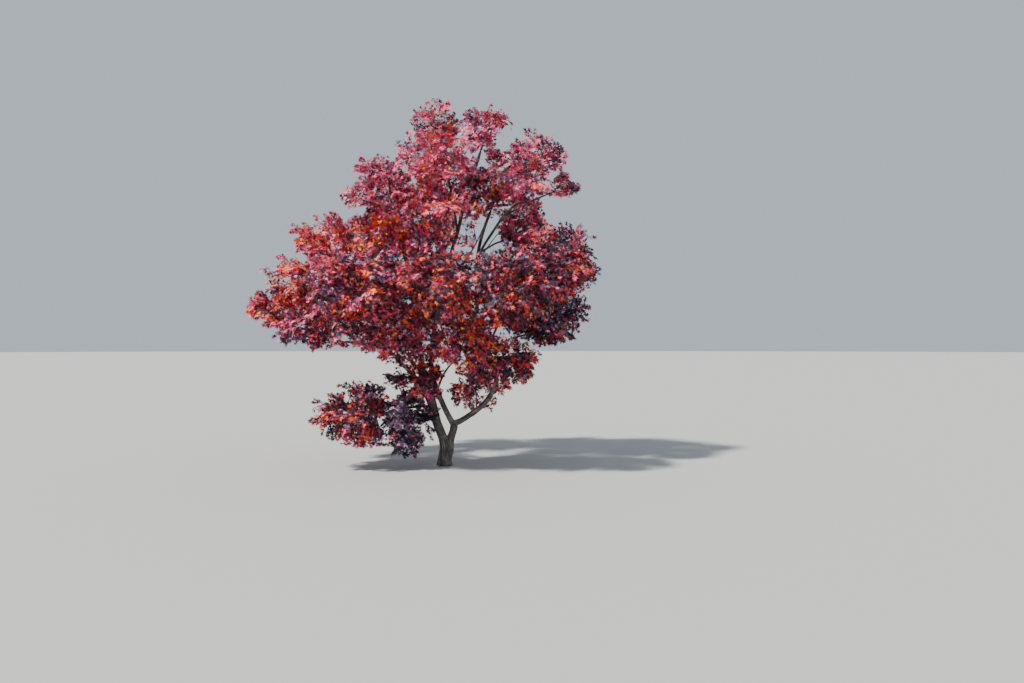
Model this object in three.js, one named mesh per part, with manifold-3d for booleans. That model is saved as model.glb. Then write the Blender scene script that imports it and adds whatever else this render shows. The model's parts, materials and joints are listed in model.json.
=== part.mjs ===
// A Japanese maple in autumn leaf: a short trunk that forks low down, spreading boughs, and open
// masses of foliage that hang in layers round them.
// Millimetres, +Z up. The origin is the middle of the flat cut under the trunk, at ground level.
// +X is to the right of the tree and -Y is its front.

import * as THREE from "three";
import { mergeVertices } from "three/addons/utils/BufferGeometryUtils.js";
import Module from "manifold-3d";

const wasm = await Module();
wasm.setup();

// Driving dimensions
const TREE_HEIGHT = 4850;
const CROWN_LEFT = 2570; // furthest tip to the left of the foot
const CROWN_RIGHT = 2040;
const CROWN_DEPTH = 1950; // furthest tip to the front and to the back
const FOOT_RADIUS = 88; // of the trunk just above its root flare
const STEM_RADIUS = 62; // of the trunk once the right stem has left it
const GAP = 0.35; // clear space left between two pieces that meet

// Trunk
const TRUNK_SIDES = 14;
const TRUNK_STEPS = 12;
const FLARE = 0.14; // how much wider the trunk is where it enters the ground
const FLARE_HEIGHT = 90;
const ROOT_RIDGES = 5;
const RIDGE_DEPTH = 0.09;
const SHOULDER_LOW = 100; // the trunk narrows between these two heights, where the stems part
const SHOULDER_HIGH = 420;

// Boughs
const BOUGH_SIDES = 5;
const STEP_LENGTH = 330; // of the straight pieces a bough is made of
const LEAST_STEPS = 2;
const MOST_STEPS = 7;
const COLLAR = 0.22; // swelling where a bough leaves its parent
const COLLAR_REACH = 1.6; // in root radii
const TAPER_POWER = 0.8;
const LEAST_KEPT = 0.4; // share of a bough that has to be left once its parents are cut out of it
const SAMPLES_EACH = 4; // places that each straight piece of a limb is tested at

// Foliage
const STEM_TIP_RADIUS = 7;
const TWIG_RADIUS = 6.5; // at a twig's root
const TWIG_SHARE = 0.48; // the same, by the stem's radius, so that the root lies wholly inside the stem
const TWIG_TIP_RADIUS = 3.2;
const STEM_SHARE = 0.8; // radius of a stem at its root, by that of the bough's tip
const STEM_SINK = 6; // length of a stem that lies inside its bough before the two are cut apart
const STEM_LIFT = 0.5; // how much a stem that leaves the trunk rises
const STEM_LEAD = 0.4; // share of its length over which a stem still runs as its bough does
const STEM_REACH = 0.4; // how far past the middle of its mass a stem runs
const TWIG_REACH = 0.52; // how far out from the middle the tip of a twig lies
const TWIG_JITTER = 0.08;
const TWIG_RISE = 0.07; // how far the middle of a twig rises above a straight line
const TWIG_BACK = 0.24; // how far a twig's root lies behind its tip, by the length of the stem
const TWIG_LOW = 0.1; // the lowest and highest place on a stem that a twig grows from
const TWIG_HIGH = 0.9;
const ENTRIES = [0.8, 0.7, 0.6, 0.5, 0.4]; // how far out from the middle of a mass its bough may end
const ENTRY_ROOM = 25; // between the end of a bough and the neighbours of its mass
const ENTRY_DROP = 0.25; // how much lower than straight towards its root a bough comes in
const TIP_SPRAY = 0.6; // length of the spray at a twig's tip, by the mean half width of its mass
const TIP_SPRAY_MOST = 540;
const PAIR_AT = 0.58; // share of a twig at which its pair of side sprays stands
const PAIR_ANGLE = 58; // degrees between a side spray and its twig
const PAIR_SHARE = 0.9; // length of a side spray, by that of the tip spray
const PAIR_ROOT = 18; // half the width of a side spray where it leaves its twig
const SPRAY_THICK = 0.034; // thickness of a spray, by its length
const SPRAY_ROOM = 0.06; // kept clear on both sides of the lines a spray is tested along, by its length
const SPRAY_TRIES = [1, 0.84, 0.7, 0.56]; // lengths tried, until a spray fits its space
const LEVEL_WEIGHT = 0.5; // how much a spray lies level, faces outwards, and turns at random
const OUTWARD_WEIGHT = 0.85;
const RANDOM_WEIGHT = 0.3;
const LIMB_CLEAR = 6; // between foliage and any limb
const MASS_CLEAR = 3; // between foliage and the plane that parts its mass from a neighbour
const GROUND_CLEAR = 15;
const GOLDEN_ANGLE = Math.PI * (3 - Math.sqrt(5));

// A tip spray has three lobes: its rim from left to right, as [along, across] in shares of its length.
const SPRAY_RIM = [
  [0.46, -0.5],
  [0.56, -0.17],
  [1, 0],
  [0.56, 0.17],
  [0.46, 0.5],
];
const SPRAY_MIDDLE = 0.4; // where along its length a tip spray is thickest

// A side spray is a simple blade: its rim from back to front, the same way.
const WING_RIM = [
  [0.42, -0.36],
  [1, 0],
  [0.42, 0.36],
];

// Places are percentages of the crown's reach on that side, of its depth, and of the tree's height.
const place = ([side, depth, level]) =>
  new THREE.Vector3(
    (side / 100) * (side < 0 ? CROWN_LEFT : CROWN_RIGHT),
    (depth / 100) * CROWN_DEPTH,
    (level / 100) * TREE_HEIGHT,
  );

// Each limb grows from a place on its parent, as a share of that parent's length. bow is how far its middle
// rises above a straight line, and sway how far it lies to the right of it, as shares of its length. Radii
// are at its root and at its tip.
// A limb either ends at a place of its own, to, or carries a mass of foliage, whose middle is centre. half is
// half the size of that mass outwards from the trunk, across that, and upwards, as percentages of the tree's
// height, and twigs is how many twigs it has. A row without a name has no bough: its mass grows straight on
// its parent, with a stem of the given radius.
const LIMBS = [
  { name: "right_stem", from: "trunk", at: 0.06, bow: -0.05, radii: [54, 47], to: [5.9, -1, 11.8] },
  { name: "right_bough", from: "right_stem", at: 0.97, bow: -0.13, radii: [38, 35], to: [34.3, -3.1, 24.3] },
  { name: "centre_stem", from: "right_stem", at: 0.95, bow: -0.1, radii: [35, 30], to: [-5.8, -2.1, 36] },
  { name: "right_riser", from: "right_bough", at: 0.98, bow: 0.03, sway: -0.11, radii: [34, 18],
    mass: "upper_right", centre: [29.4, 19.5, 79.4], half: [10.3, 11.6, 11.3], twigs: 7 },
  { name: "leader", from: "centre_stem", at: 0.99, bow: 0.015, radii: [29, 19],
    mass: "top_right", centre: [26.8, -8.7, 91.9], half: [7.2, 7.2, 7.7], twigs: 7 },
  { name: "left_fork", from: "leader", at: 0.56, bow: 0.03, radii: [17, 14],
    mass: "top_left", centre: [-5.6, 11.8, 94.8], half: [8.2, 7.5, 7.7], twigs: 6 },
  { name: "upper_centre_bough", from: "left_fork", at: 0.3, bow: 0.05, radii: [16, 13],
    mass: "upper_centre", centre: [-2.8, -19.5, 81], half: [12.4, 12.9, 10.3], twigs: 7 },
  { name: "mid_centre_bough", from: "leader", at: 0.28, bow: 0.06, radii: [16, 13],
    mass: "mid_centre", centre: [3, -28.7, 65.5], half: [11.4, 11.1, 10.8], twigs: 7 },
  { name: "right_upper_bough", from: "right_riser", at: 0.7, bow: 0.05, radii: [19, 16],
    mass: "right_upper", centre: [58.4, -16.4, 80], half: [11.3, 11.1, 11.3], twigs: 7 },
  { name: "right_twig_bough", from: "right_upper_bough", at: 0.6, bow: 0.05, radii: [13, 10],
    mass: "right_twig", centre: [73, -12.8, 76], half: [7.7, 4.4, 3.6], twigs: 3 },
  { name: "right_mid_bough", from: "right_riser", at: 0.72, bow: 0.04, radii: [15, 12],
    mass: "right_mid", centre: [48.2, 16.9, 67.3], half: [7.9, 10.3, 9.5], twigs: 6 },
  { name: "left_leader", from: "trunk", at: 0.98, bow: 0.03, radii: [46, 18],
    mass: "left_upper", centre: [-26.3, -16.9, 74.2], half: [13.7, 12.9, 10.8], twigs: 7 },
  { name: "left_centre_bough", from: "left_leader", at: 0.5, bow: 0.06, radii: [16, 13],
    mass: "left_centre", centre: [-24.1, -24.6, 62.3], half: [13.4, 13.4, 11.1], twigs: 7 },
  { name: "left_shoulder_bough", from: "left_leader", at: 0.4, bow: 0.06, radii: [19, 14],
    mass: "left_shoulder", centre: [-58, 19.5, 60.9], half: [17.5, 14.4, 11.6], twigs: 7 },
  { name: "left_bough", from: "trunk", at: 0.94, bow: 0.06, radii: [34, 14],
    mass: "left_mid", centre: [-72.6, 13.3, 49.6], half: [16, 14.4, 10.8], twigs: 7 },
  { name: "far_left_bough", from: "left_bough", at: 0.6, bow: 0.09, radii: [15, 12],
    mass: "far_left", centre: [-87.2, -6.2, 43.4], half: [8.4, 8.6, 5.6], twigs: 5 },
  { name: "left_low_bough", from: "left_bough", at: 0.4, bow: 0.05, radii: [16, 13],
    mass: "left_low", centre: [-62.3, -21.5, 38.3], half: [14.4, 12.9, 7.2], twigs: 7 },
  { name: "low_left_bough", from: "trunk", at: 0.72, bow: 0.08, radii: [19, 16],
    mass: "low_left", centre: [-41.8, -16.9, 15], half: [14.4, 12.9, 9.1], twigs: 7 },
  { from: "trunk", at: 0.56, radius: 16,
    mass: "low_inner", centre: [-21.2, -10, 13.6], half: [11.4, 10.8, 12], twigs: 7 },
  { name: "right_shoulder_bough", from: "right_riser", at: 0.35, bow: 0.08, radii: [17, 14],
    mass: "right_shoulder", centre: [74.8, -16.9, 55.6], half: [11.6, 14.4, 11.3], twigs: 7 },
  { name: "right_low_bough", from: "right_riser", at: 0.14, bow: 0.06, radii: [16, 13],
    mass: "right_low", centre: [68.4, 19.5, 41.8], half: [12.4, 13.4, 9.8], twigs: 7 },
  { from: "right_riser", at: 0.03, radius: 14,
    mass: "right_bottom", centre: [38.2, -18.5, 28.6], half: [10.5, 10.8, 8.1], twigs: 6 },
  { name: "centre_front_bough", from: "centre_stem", at: 0.75, bow: 0.08, radii: [16, 13],
    mass: "centre_front", centre: [1, -59, 49.5], half: [14.4, 14.4, 11.6], twigs: 7 },
  { name: "right_front_bough", from: "right_riser", at: 0.12, bow: 0.08, radii: [16, 13],
    mass: "right_front", centre: [41.7, -53.8, 47.4], half: [14.9, 14.4, 11.6], twigs: 7 },
  { name: "left_front_bough", from: "left_bough", at: 0.3, bow: 0.08, radii: [16, 13],
    mass: "left_front", centre: [-35, -53.8, 48], half: [15.5, 15.5, 11.1], twigs: 7 },
  { name: "low_front_bough", from: "centre_stem", at: 0.4, bow: 0.08, radii: [15, 12],
    mass: "low_front", centre: [13.7, -38.5, 34.6], half: [11.3, 11.9, 8.8], twigs: 7 },
  { name: "low_middle_bough", from: "trunk", at: 0.9, bow: 0.08, radii: [15, 12],
    mass: "low_middle", centre: [-20.2, -38.5, 36.9], half: [13.4, 12.9, 8.4], twigs: 7 },
  { name: "centre_back_bough", from: "left_leader", at: 0.3, bow: 0.08, radii: [16, 13],
    mass: "centre_back", centre: [-5.8, 56.4, 51.5], half: [14.9, 15.5, 12.4], twigs: 6 },
  { name: "right_back_bough", from: "right_riser", at: 0.25, bow: 0.08, radii: [16, 13],
    mass: "right_back", centre: [44.1, 53.8, 48.5], half: [14.9, 14.4, 12.1], twigs: 6 },
  { name: "left_back_bough", from: "left_leader", at: 0.22, bow: 0.08, radii: [16, 13],
    mass: "left_back", centre: [-44.7, 51.3, 49.5], half: [15.5, 14.9, 12.1], twigs: 6 },
  { name: "upper_back_bough", from: "leader", at: 0.4, bow: 0.08, radii: [15, 12],
    mass: "upper_back", centre: [-16.3, 42.1, 69.7], half: [12.4, 12.4, 11.3], twigs: 6 },
  { from: "left_bough", at: 0.14, radius: 13,
    mass: "fork", centre: [-13.9, -17, 24.6], half: [9, 8.8, 7.2], twigs: 5 },
  { from: "right_bough", at: 0.4, radius: 12,
    mass: "right_inner", centre: [20, 8, 20.4], half: [8.4, 8, 7.6], twigs: 4 },
];

const UP = new THREE.Vector3(0, 0, 1);
const SIDEWAYS = new THREE.Vector3(1, 0, 0);

const bark = new THREE.MeshStandardMaterial({ color: 0x6b6058, roughness: 0.9, metalness: 0 });
const leaf = new THREE.MeshStandardMaterial({ color: 0xa3202a, roughness: 0.6, metalness: 0 });

// Numbers from 0 to 1 that come out the same on every run, by the mulberry32 rule.
function seeded(seed) {
  let state = seed >>> 0;
  return () => {
    state = (state + 0x6d2b79f5) >>> 0;
    let t = Math.imul(state ^ (state >>> 15), state | 1);
    t = (t ^ (t + Math.imul(t ^ (t >>> 7), t | 61))) >>> 0;
    return ((t ^ (t >>> 14)) >>> 0) / 4294967296;
  };
}

const smooth = (low, high, value) => {
  const t = Math.min(1, Math.max(0, (value - low) / (high - low)));
  return t * t * (3 - 2 * t);
};

// A closed three.js geometry as a solid.
function solidOf(geometry) {
  geometry.deleteAttribute("normal");
  geometry.deleteAttribute("uv");
  const merged = mergeVertices(geometry, 1e-4);
  return new wasm.Manifold(
    new wasm.Mesh({
      numProp: 3,
      vertProperties: merged.attributes.position.array,
      triVerts: Uint32Array.from(merged.index.array),
    }),
  );
}

// A solid as a named mesh.
function meshOf(name, solid, material) {
  const made = solid.getMesh();
  const geometry = new THREE.BufferGeometry()
    .setAttribute("position", new THREE.BufferAttribute(made.vertProperties, 3))
    .setIndex(new THREE.BufferAttribute(made.triVerts, 1));
  geometry.computeVertexNormals();
  const mesh = new THREE.Mesh(geometry, material);
  mesh.name = name;
  return mesh;
}

// The largest piece of a solid, with anything that fusing sealed inside it filled.
function mainBody(solid) {
  return solid.decompose().reduce((a, b) => (b.volume() > a.volume() ? b : a));
}

// Two directions square to a limb's own, the first kept steady along the limb by one fixed direction.
function squareTo(direction, steady) {
  const across = steady.clone().addScaledVector(direction, -steady.dot(direction)).normalize();
  return [across, new THREE.Vector3().crossVectors(direction, across)];
}

// A steady direction for a limb that runs along chord: level, and square to it.
function steadyFor(chord) {
  const upright = Math.abs(chord.dot(UP)) > 0.94;
  return new THREE.Vector3().crossVectors(chord, upright ? SIDEWAYS : UP).normalize();
}

// Evenly spaced shares of a curve's length, from 0 to 1.
const evenShares = (steps) => Array.from({ length: steps + 1 }, (_, i) => i / steps);

// A place on the straight pieces that a tube is made of, which run between its rings.
function axisPoint({ curve, shares }, at) {
  const step = Math.max(1, shares.findIndex((share) => share >= at));
  const [low, high] = [shares[step - 1], shares[step]];
  return curve.getPoint(low).lerp(curve.getPoint(high), (at - low) / (high - low));
}

// A tube round a curve, closed at both ends: a lathe profile of radiusAt(share) with its axis bent onto
// the curve, and widened by ridgeAt(share, turn) if it has ridges. A tube that is grown runs on past both
// ends too.
function tube({ curve, radiusAt, shares, ridgeAt }, sides, grown = 0) {
  const steps = shares.length - 1;
  const profile = [
    new THREE.Vector2(0, 0),
    ...shares.map((share, step) => new THREE.Vector2(radiusAt(share) + grown, step)),
    new THREE.Vector2(0, steps),
  ];
  const geometry = new THREE.LatheGeometry(profile, sides);
  const steady = steadyFor(curve.v2.clone().sub(curve.v0).normalize());
  const position = geometry.attributes.position;
  for (let i = 0; i < position.count; i += 1) {
    const share = shares[Math.round(position.getY(i))];
    const direction = curve.getTangent(share);
    const [across, third] = squareTo(direction, steady);
    const centre = curve.getPoint(share).addScaledVector(direction, grown * (share === 1) - grown * (share === 0));
    const ridge = ridgeAt ? ridgeAt(share, Math.atan2(position.getX(i), position.getZ(i))) : 1;
    centre.addScaledVector(across, ridge * position.getZ(i)).addScaledVector(third, ridge * position.getX(i));
    position.setXYZ(i, centre.x, centre.y, centre.z);
  }
  return solidOf(geometry);
}

// The curve of a limb from root to tip, with its middle lifted by bow times its length, and moved to the
// right by sway times its length.
function limbCurve(root, tip, bow, sway = 0) {
  const chord = tip.clone().sub(root);
  const along = chord.clone().normalize();
  const lift = UP.clone().addScaledVector(along, -UP.dot(along)).normalize();
  const middle = root.clone().add(tip).multiplyScalar(0.5).addScaledVector(lift, 2 * bow * chord.length())
    .addScaledVector(SIDEWAYS, 2 * sway * chord.length());
  return new THREE.QuadraticBezierCurve3(root, middle, tip);
}

// The trunk leaves the ground upright, so that the cut under it is level, and leans to the left higher up.
function trunkLimb() {
  const tip = place([-12, 1, 22.3]);
  const curve = new THREE.QuadraticBezierCurve3(
    new THREE.Vector3(0, 0, 0),
    new THREE.Vector3(0, 0, tip.z * 0.48),
    tip,
  );
  const radiusAt = (share) => {
    const height = curve.getPoint(share).z;
    const stem = STEM_RADIUS + (FOOT_RADIUS - STEM_RADIUS) * (1 - smooth(SHOULDER_LOW, SHOULDER_HIGH, height));
    return stem * (1 + FLARE * Math.exp(-height / FLARE_HEIGHT));
  };
  const ridgeAt = (share, turn) =>
    1 + RIDGE_DEPTH * Math.exp(-curve.getPoint(share).z / FLARE_HEIGHT) * Math.cos(ROOT_RIDGES * turn);
  return { name: "trunk", curve, radiusAt, ridgeAt, shares: evenShares(TRUNK_STEPS) };
}

// Where a bough ends: in its mass, on the side that its root lies on, as far out as the mass's space allows.
function entryOf(space, root) {
  const towards = root.clone().sub(space.middle).normalize().addScaledVector(UP, -ENTRY_DROP).normalize();
  const places = ENTRIES.map((entry) =>
    space.middle.clone().addScaledVector(towards, entry / shareOf(space, towards)));
  return places.find((point) => inSpace(space, point, ENTRY_ROOM));
}

// A bough tapers from its root to its tip, and swells into a collar where it leaves its parent.
function boughLimb({ name, bow, sway, radii }, root, tip) {
  const curve = limbCurve(root, tip, bow, sway);
  const length = curve.getLength();
  const [rootRadius, tipRadius] = radii;
  const radiusAt = (share) => {
    const taper = rootRadius + (tipRadius - rootRadius) * share ** TAPER_POWER;
    return taper * (1 + COLLAR * Math.exp((-share * length) / (COLLAR_REACH * rootRadius)));
  };
  const steps = Math.min(MOST_STEPS, Math.max(LEAST_STEPS, Math.round(length / STEP_LENGTH)));
  return { name, curve, radiusAt, shares: evenShares(steps) };
}

// All limbs, each cut clear of those before it.
function growLimbs(spaces) {
  const trunk = trunkLimb();
  trunk.solid = tube(trunk, TRUNK_SIDES);
  trunk.grown = tube(trunk, TRUNK_SIDES, GAP);
  const limbs = new Map([["trunk", trunk]]);
  for (const row of LIMBS.filter(({ name }) => name)) {
    const root = axisPoint(limbs.get(row.from), row.at);
    const tip = row.to ? place(row.to) : entryOf(spaces.get(row.mass), root);
    const limb = boughLimb(row, root, tip);
    const whole = tube(limb, BOUGH_SIDES);
    const earlier = [...limbs.values()].map((other) => other.grown);
    limb.solid = mainBody(wasm.Manifold.difference([whole, ...earlier]));
    if (limb.solid.volume() < LEAST_KEPT * whole.volume()) {
      throw new Error(`${row.name} runs into another limb`);
    }
    limb.grown = tube(limb, BOUGH_SIDES, GAP);
    limbs.set(row.name, limb);
  }
  return limbs;
}

// The room that a mass keeps to: an egg shape, and the planes that part it from its neighbours.
function spaceOf({ mass, centre, half, twigs }) {
  const middle = place(centre);
  const bearing = Math.atan2(middle.y, middle.x);
  const out = new THREE.Vector3(Math.cos(bearing), Math.sin(bearing), 0);
  const across = new THREE.Vector3(-Math.sin(bearing), Math.cos(bearing), 0);
  const sizes = half.map((percent) => (percent / 100) * TREE_HEIGHT);
  return { name: mass, middle, axes: [out, across, UP], sizes, twigs, planes: [] };
}

// The length of an offset from the middle of a space, where 1 is on its egg shape.
function shareOf(space, offset) {
  return Math.hypot(...space.axes.map((axis, i) => axis.dot(offset) / space.sizes[i]));
}

// How far an egg shape reaches from its middle, measured along a direction.
function reachAlong(space, direction) {
  return Math.hypot(...space.axes.map((axis, i) => axis.dot(direction) * space.sizes[i]));
}

// Gives two spaces that come near each other a plane between them.
function partSpaces(a, b) {
  const towards = b.middle.clone().sub(a.middle);
  const distance = towards.length();
  towards.normalize();
  const reachA = reachAlong(a, towards);
  const reachB = reachAlong(b, towards);
  if (distance > reachA + reachB + 2 * MASS_CLEAR) return;
  const level = a.middle.dot(towards) + (distance * reachA) / (reachA + reachB);
  a.planes.push({ normal: towards, most: level - MASS_CLEAR });
  b.planes.push({ normal: towards.clone().negate(), most: -level - MASS_CLEAR });
}

// True if a point keeps to a space, with room to spare at its planes.
function inSpace(space, point, room = 0) {
  return shareOf(space, point.clone().sub(space.middle)) <= 1
    && point.z > GROUND_CLEAR + room
    && space.planes.every(({ normal, most }) => point.dot(normal) < most - room);
}

// The least distance between two segments.
function segmentGap(a0, a1, b0, b1) {
  const u = a1.clone().sub(a0);
  const v = b1.clone().sub(b0);
  const w = a0.clone().sub(b0);
  const [uu, uv, vv, uw, vw] = [u.dot(u), u.dot(v), v.dot(v), u.dot(w), v.dot(w)];
  const spread = uu * vv - uv * uv;
  const clamp = (x) => Math.min(1, Math.max(0, x));
  let s = spread > 1e-6 * uu * vv ? clamp((uv * vw - vv * uw) / spread) : 0;
  const t = clamp((uv * s + vw) / vv);
  s = clamp((uv * t - uw) / uu);
  return w.addScaledVector(u, s).addScaledVector(v, -t).length();
}

// True if a rod of the given radius keeps clear of every limb but one.
function clearOfLimbs(limbs, start, end, radius, except) {
  return [...limbs.values()].every(({ name, points, radii }) =>
    name === except || points.slice(1).every((point, i) =>
      segmentGap(start, end, points[i], point) > radius + Math.max(radii[i], radii[i + 1]) + LIMB_CLEAR));
}

// True if a shoot keeps to its space and off the limbs.
function shootFits(space, limbs, { curve, shares }, radius, except) {
  const points = shares.map((share) => curve.getPoint(share));
  return points.every((point) => inSpace(space, point, radius))
    && points.slice(1).every((point, i) => clearOfLimbs(limbs, points[i], point, radius, except));
}

// A shoot along a curve, with rings at its ends and on both sides of its pair of side sprays. The stem of a
// mass bends more than its twigs, and has one ring more.
function shootAlong(curve, radiusAt, bends = false) {
  const half = PAIR_ROOT / curve.getLength();
  const shares = [PAIR_AT - half, PAIR_AT + half, 1];
  return { curve, radiusAt, shares: bends ? [0, PAIR_AT / 2, ...shares] : [0, ...shares] };
}

// The corners of a tip spray: its rim, and one corner above its middle and one below.
function tipSpray(root, heading, across, length) {
  const face = new THREE.Vector3().crossVectors(across, heading);
  const rim = SPRAY_RIM.map(([along, side]) =>
    root.clone().addScaledVector(heading, along * length).addScaledVector(across, side * length));
  const middle = root.clone().addScaledVector(heading, SPRAY_MIDDLE * length);
  const rise = (SPRAY_THICK * length) / 2;
  return [...rim, middle.clone().addScaledVector(face, rise), middle.clone().addScaledVector(face, -rise)];
}

// The corners of a side spray that heads to one side of its twig, from back to front.
function sideSpray(root, heading, across, length, hand) {
  const angle = THREE.MathUtils.degToRad(PAIR_ANGLE);
  const out = heading.clone().multiplyScalar(Math.cos(angle)).addScaledVector(across, hand * Math.sin(angle));
  const fore = heading.clone().multiplyScalar(Math.sin(angle)).addScaledVector(across, -hand * Math.cos(angle));
  return WING_RIM.map(([along, side]) =>
    root.clone().addScaledVector(out, along * length).addScaledVector(fore, side * length));
}

// The corners of the first spray that keeps to its space and off the limbs, each tried being shorter than
// the last. Limbs are looked for along lines from its root to its corners, along its rim, and across it.
function fittingSpray(space, limbs, root, length, rimCount, makeSpray) {
  for (const share of SPRAY_TRIES) {
    const corners = makeSpray(share * length);
    const rim = corners.slice(0, rimCount);
    const lines = [...rim.map((corner) => [root, corner]), ...rim.map((corner, i) => [corner, rim[(i + 1) % rimCount]])];
    const room = SPRAY_ROOM * share * length;
    if (corners.every((corner) => inSpace(space, corner))
      && lines.every(([start, end]) => clearOfLimbs(limbs, start, end, room))) return corners;
  }
  return null;
}

// The faces of a side spray that stands on one side of a twig, between two of its rings. p0 to p3 are the
// corners of that side, and back, tip and front those of the spray.
function wingFaces([p0, p1, p2, p3], [back, tip, front]) {
  return [
    p1, p2, front, p1, front, tip, p1, tip, back,
    p0, back, tip, p0, tip, front, p0, front, p3,
    p0, p1, back, p2, p3, front,
  ];
}

// The faces of a tip spray on the last ring of its twig: fans round its upper and under corner.
function tipFaces([left, right, low], rim, top, under) {
  const upper = [left, right, ...rim.slice().reverse()];
  const lower = [left, ...rim, right, low];
  return [
    ...upper.flatMap((corner, i) => [corner, upper[(i + 1) % upper.length], top]),
    ...lower.flatMap((corner, i) => [corner, lower[(i + 1) % lower.length], under]),
  ];
}

// A shoot as a solid: three-sided rings along its curve, with its side sprays between two of them and its
// tip spray on the last. Its upper side is flat, and its third edge runs below.
function shootSolid({ curve, radiusAt, shares }, side, tip, wings) {
  const points = shares.flatMap((share) => {
    const [across, under] = squareTo(curve.getTangent(share), side);
    return [150, 30, 270].map((degrees) => {
      const angle = THREE.MathUtils.degToRad(degrees);
      return curve.getPoint(share).addScaledVector(across, radiusAt(share) * Math.cos(angle))
        .addScaledVector(under, -radiusAt(share) * Math.sin(angle));
    });
  });
  const faces = [0, 2, 1];
  shares.slice(1).forEach((_, step) => [0, 1, 2].forEach((edge) => {
    const [a, b] = [3 * step + edge, 3 * step + ((edge + 1) % 3)];
    const wing = step === shares.length - 3 && wings[edge];
    if (wing) {
      faces.push(...wingFaces([a, b, b + 3, a + 3], wing.map((_, i) => points.length + i)));
      points.push(...wing);
    } else {
      faces.push(a, b + 3, a + 3, a, b, b + 3);
    }
  }));
  const last = [0, 1, 2].map((corner) => 3 * (shares.length - 1) + corner);
  if (tip) {
    const corners = tip.map((_, i) => points.length + i);
    faces.push(...tipFaces(last, corners.slice(0, -2), ...corners.slice(-2)));
    points.push(...tip);
  } else {
    faces.push(...last);
  }
  return solidOf(new THREE.BufferGeometry().setFromPoints(points).setIndex(faces));
}

// The direction to the side of a shoot, in the plane that its sprays lie in: they lie level on the whole,
// and turn their upper side outwards.
function sideOf(space, curve, random) {
  const heading = curve.getTangent(1);
  const outward = curve.v2.clone().sub(space.middle).normalize();
  const chance = new THREE.Vector3(random() - 0.5, random() - 0.5, random() - 0.5);
  const facing = UP.clone().multiplyScalar(LEVEL_WEIGHT).addScaledVector(outward, OUTWARD_WEIGHT)
    .addScaledVector(chance, 2 * RANDOM_WEIGHT);
  return new THREE.Vector3().crossVectors(heading, facing).normalize();
}

// A shoot as a solid, with its tip spray and its two side sprays as far as they fit.
function growShoot(space, limbs, shoot, random) {
  const { curve } = shoot;
  const length = Math.min(TIP_SPRAY_MOST, (TIP_SPRAY * (space.sizes[0] + space.sizes[1])) / 2);
  const side = sideOf(space, curve, random);
  const ahead = curve.getTangent(1);
  const tip = fittingSpray(space, limbs, curve.v2, length, SPRAY_RIM.length,
    (size) => tipSpray(curve.v2, ahead, squareTo(ahead, side)[0], size));
  const root = axisPoint(shoot, PAIR_AT);
  const heading = curve.getTangent(PAIR_AT);
  const [across] = squareTo(heading, side);
  const wings = [0, 1, -1].map((hand) => hand && fittingSpray(space, limbs, root, PAIR_SHARE * length,
    WING_RIM.length, (size) => sideSpray(root, heading, across, size, hand)));
  return shootSolid(shoot, side, tip, wings);
}

// Directions spread evenly over a ball by the golden angle, in shares of a space's own axes.
function evenDirections(count, phase) {
  return Array.from({ length: count }, (_, i) => {
    const rise = 1 - (2 * i + 1) / count;
    const flat = Math.sqrt(1 - rise * rise);
    const turn = i * GOLDEN_ANGLE + phase;
    return [flat * Math.cos(turn), flat * Math.sin(turn), rise];
  });
}

// The stem of a mass: it carries on from its bough, or straight from the trunk, and bends towards the far
// side of its space. It starts inside its limb.
function stemCurve(space, row, limb) {
  const root = row.name ? limb.curve.getPoint(1) : axisPoint(limb, row.at);
  const far = space.middle.clone().sub(root).normalize();
  const heading = row.name ? limb.curve.getTangent(1) : far.clone().addScaledVector(UP, STEM_LIFT).normalize();
  root.addScaledVector(heading, row.name ? -STEM_SINK : 0);
  const end = space.middle.clone().addScaledVector(far, STEM_REACH / shareOf(space, far));
  const lead = root.clone().addScaledVector(heading, STEM_LEAD * end.distanceTo(root));
  return new THREE.QuadraticBezierCurve3(root, lead, end);
}

// A mass of foliage: its stem, twigs spread evenly through its space, and their sprays.
function growMass(row, space, limbs, random) {
  const limb = limbs.get(row.name ?? row.from);
  const stemRadius = STEM_SHARE * (row.name ? limb.radiusAt(1) : row.radius);
  const stem = shootAlong(stemCurve(space, row, limb), (share) =>
    stemRadius + (STEM_TIP_RADIUS - stemRadius) * share, true);
  if (!shootFits(space, limbs, stem, STEM_TIP_RADIUS, limb.name)) {
    throw new Error(`the stem of ${space.name} doesn't fit its space`);
  }
  const solids = [growShoot(space, limbs, stem, random)];
  const { v0: root, v2: end } = stem.curve;
  const chord = end.clone().sub(root);
  for (const direction of evenDirections(space.twigs, 2 * Math.PI * random())) {
    const reach = TWIG_REACH + TWIG_JITTER * (2 * random() - 1);
    const target = space.middle.clone();
    space.axes.forEach((axis, i) => target.addScaledVector(axis, direction[i] * space.sizes[i] * reach));
    const level = target.clone().sub(root).dot(chord) / chord.lengthSq();
    const at = Math.min(TWIG_HIGH, Math.max(TWIG_LOW, level - TWIG_BACK));
    const radius = Math.min(TWIG_RADIUS, TWIG_SHARE * stem.radiusAt(at));
    const twig = shootAlong(limbCurve(axisPoint(stem, at), target, TWIG_RISE), (share) =>
      radius + (TWIG_TIP_RADIUS - radius) * share);
    if (shootFits(space, limbs, twig, radius)) solids.push(growShoot(space, limbs, twig, random));
  }
  return mainBody(wasm.Manifold.union(solids).subtract(limb.grown));
}

// Points and radii along a limb, for testing what comes near it.
function sampleLimb(limb) {
  const shares = evenShares(SAMPLES_EACH * (limb.shares.length - 1));
  limb.points = shares.map((share) => axisPoint(limb, share));
  limb.radii = shares.map(limb.radiusAt);
}

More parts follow.
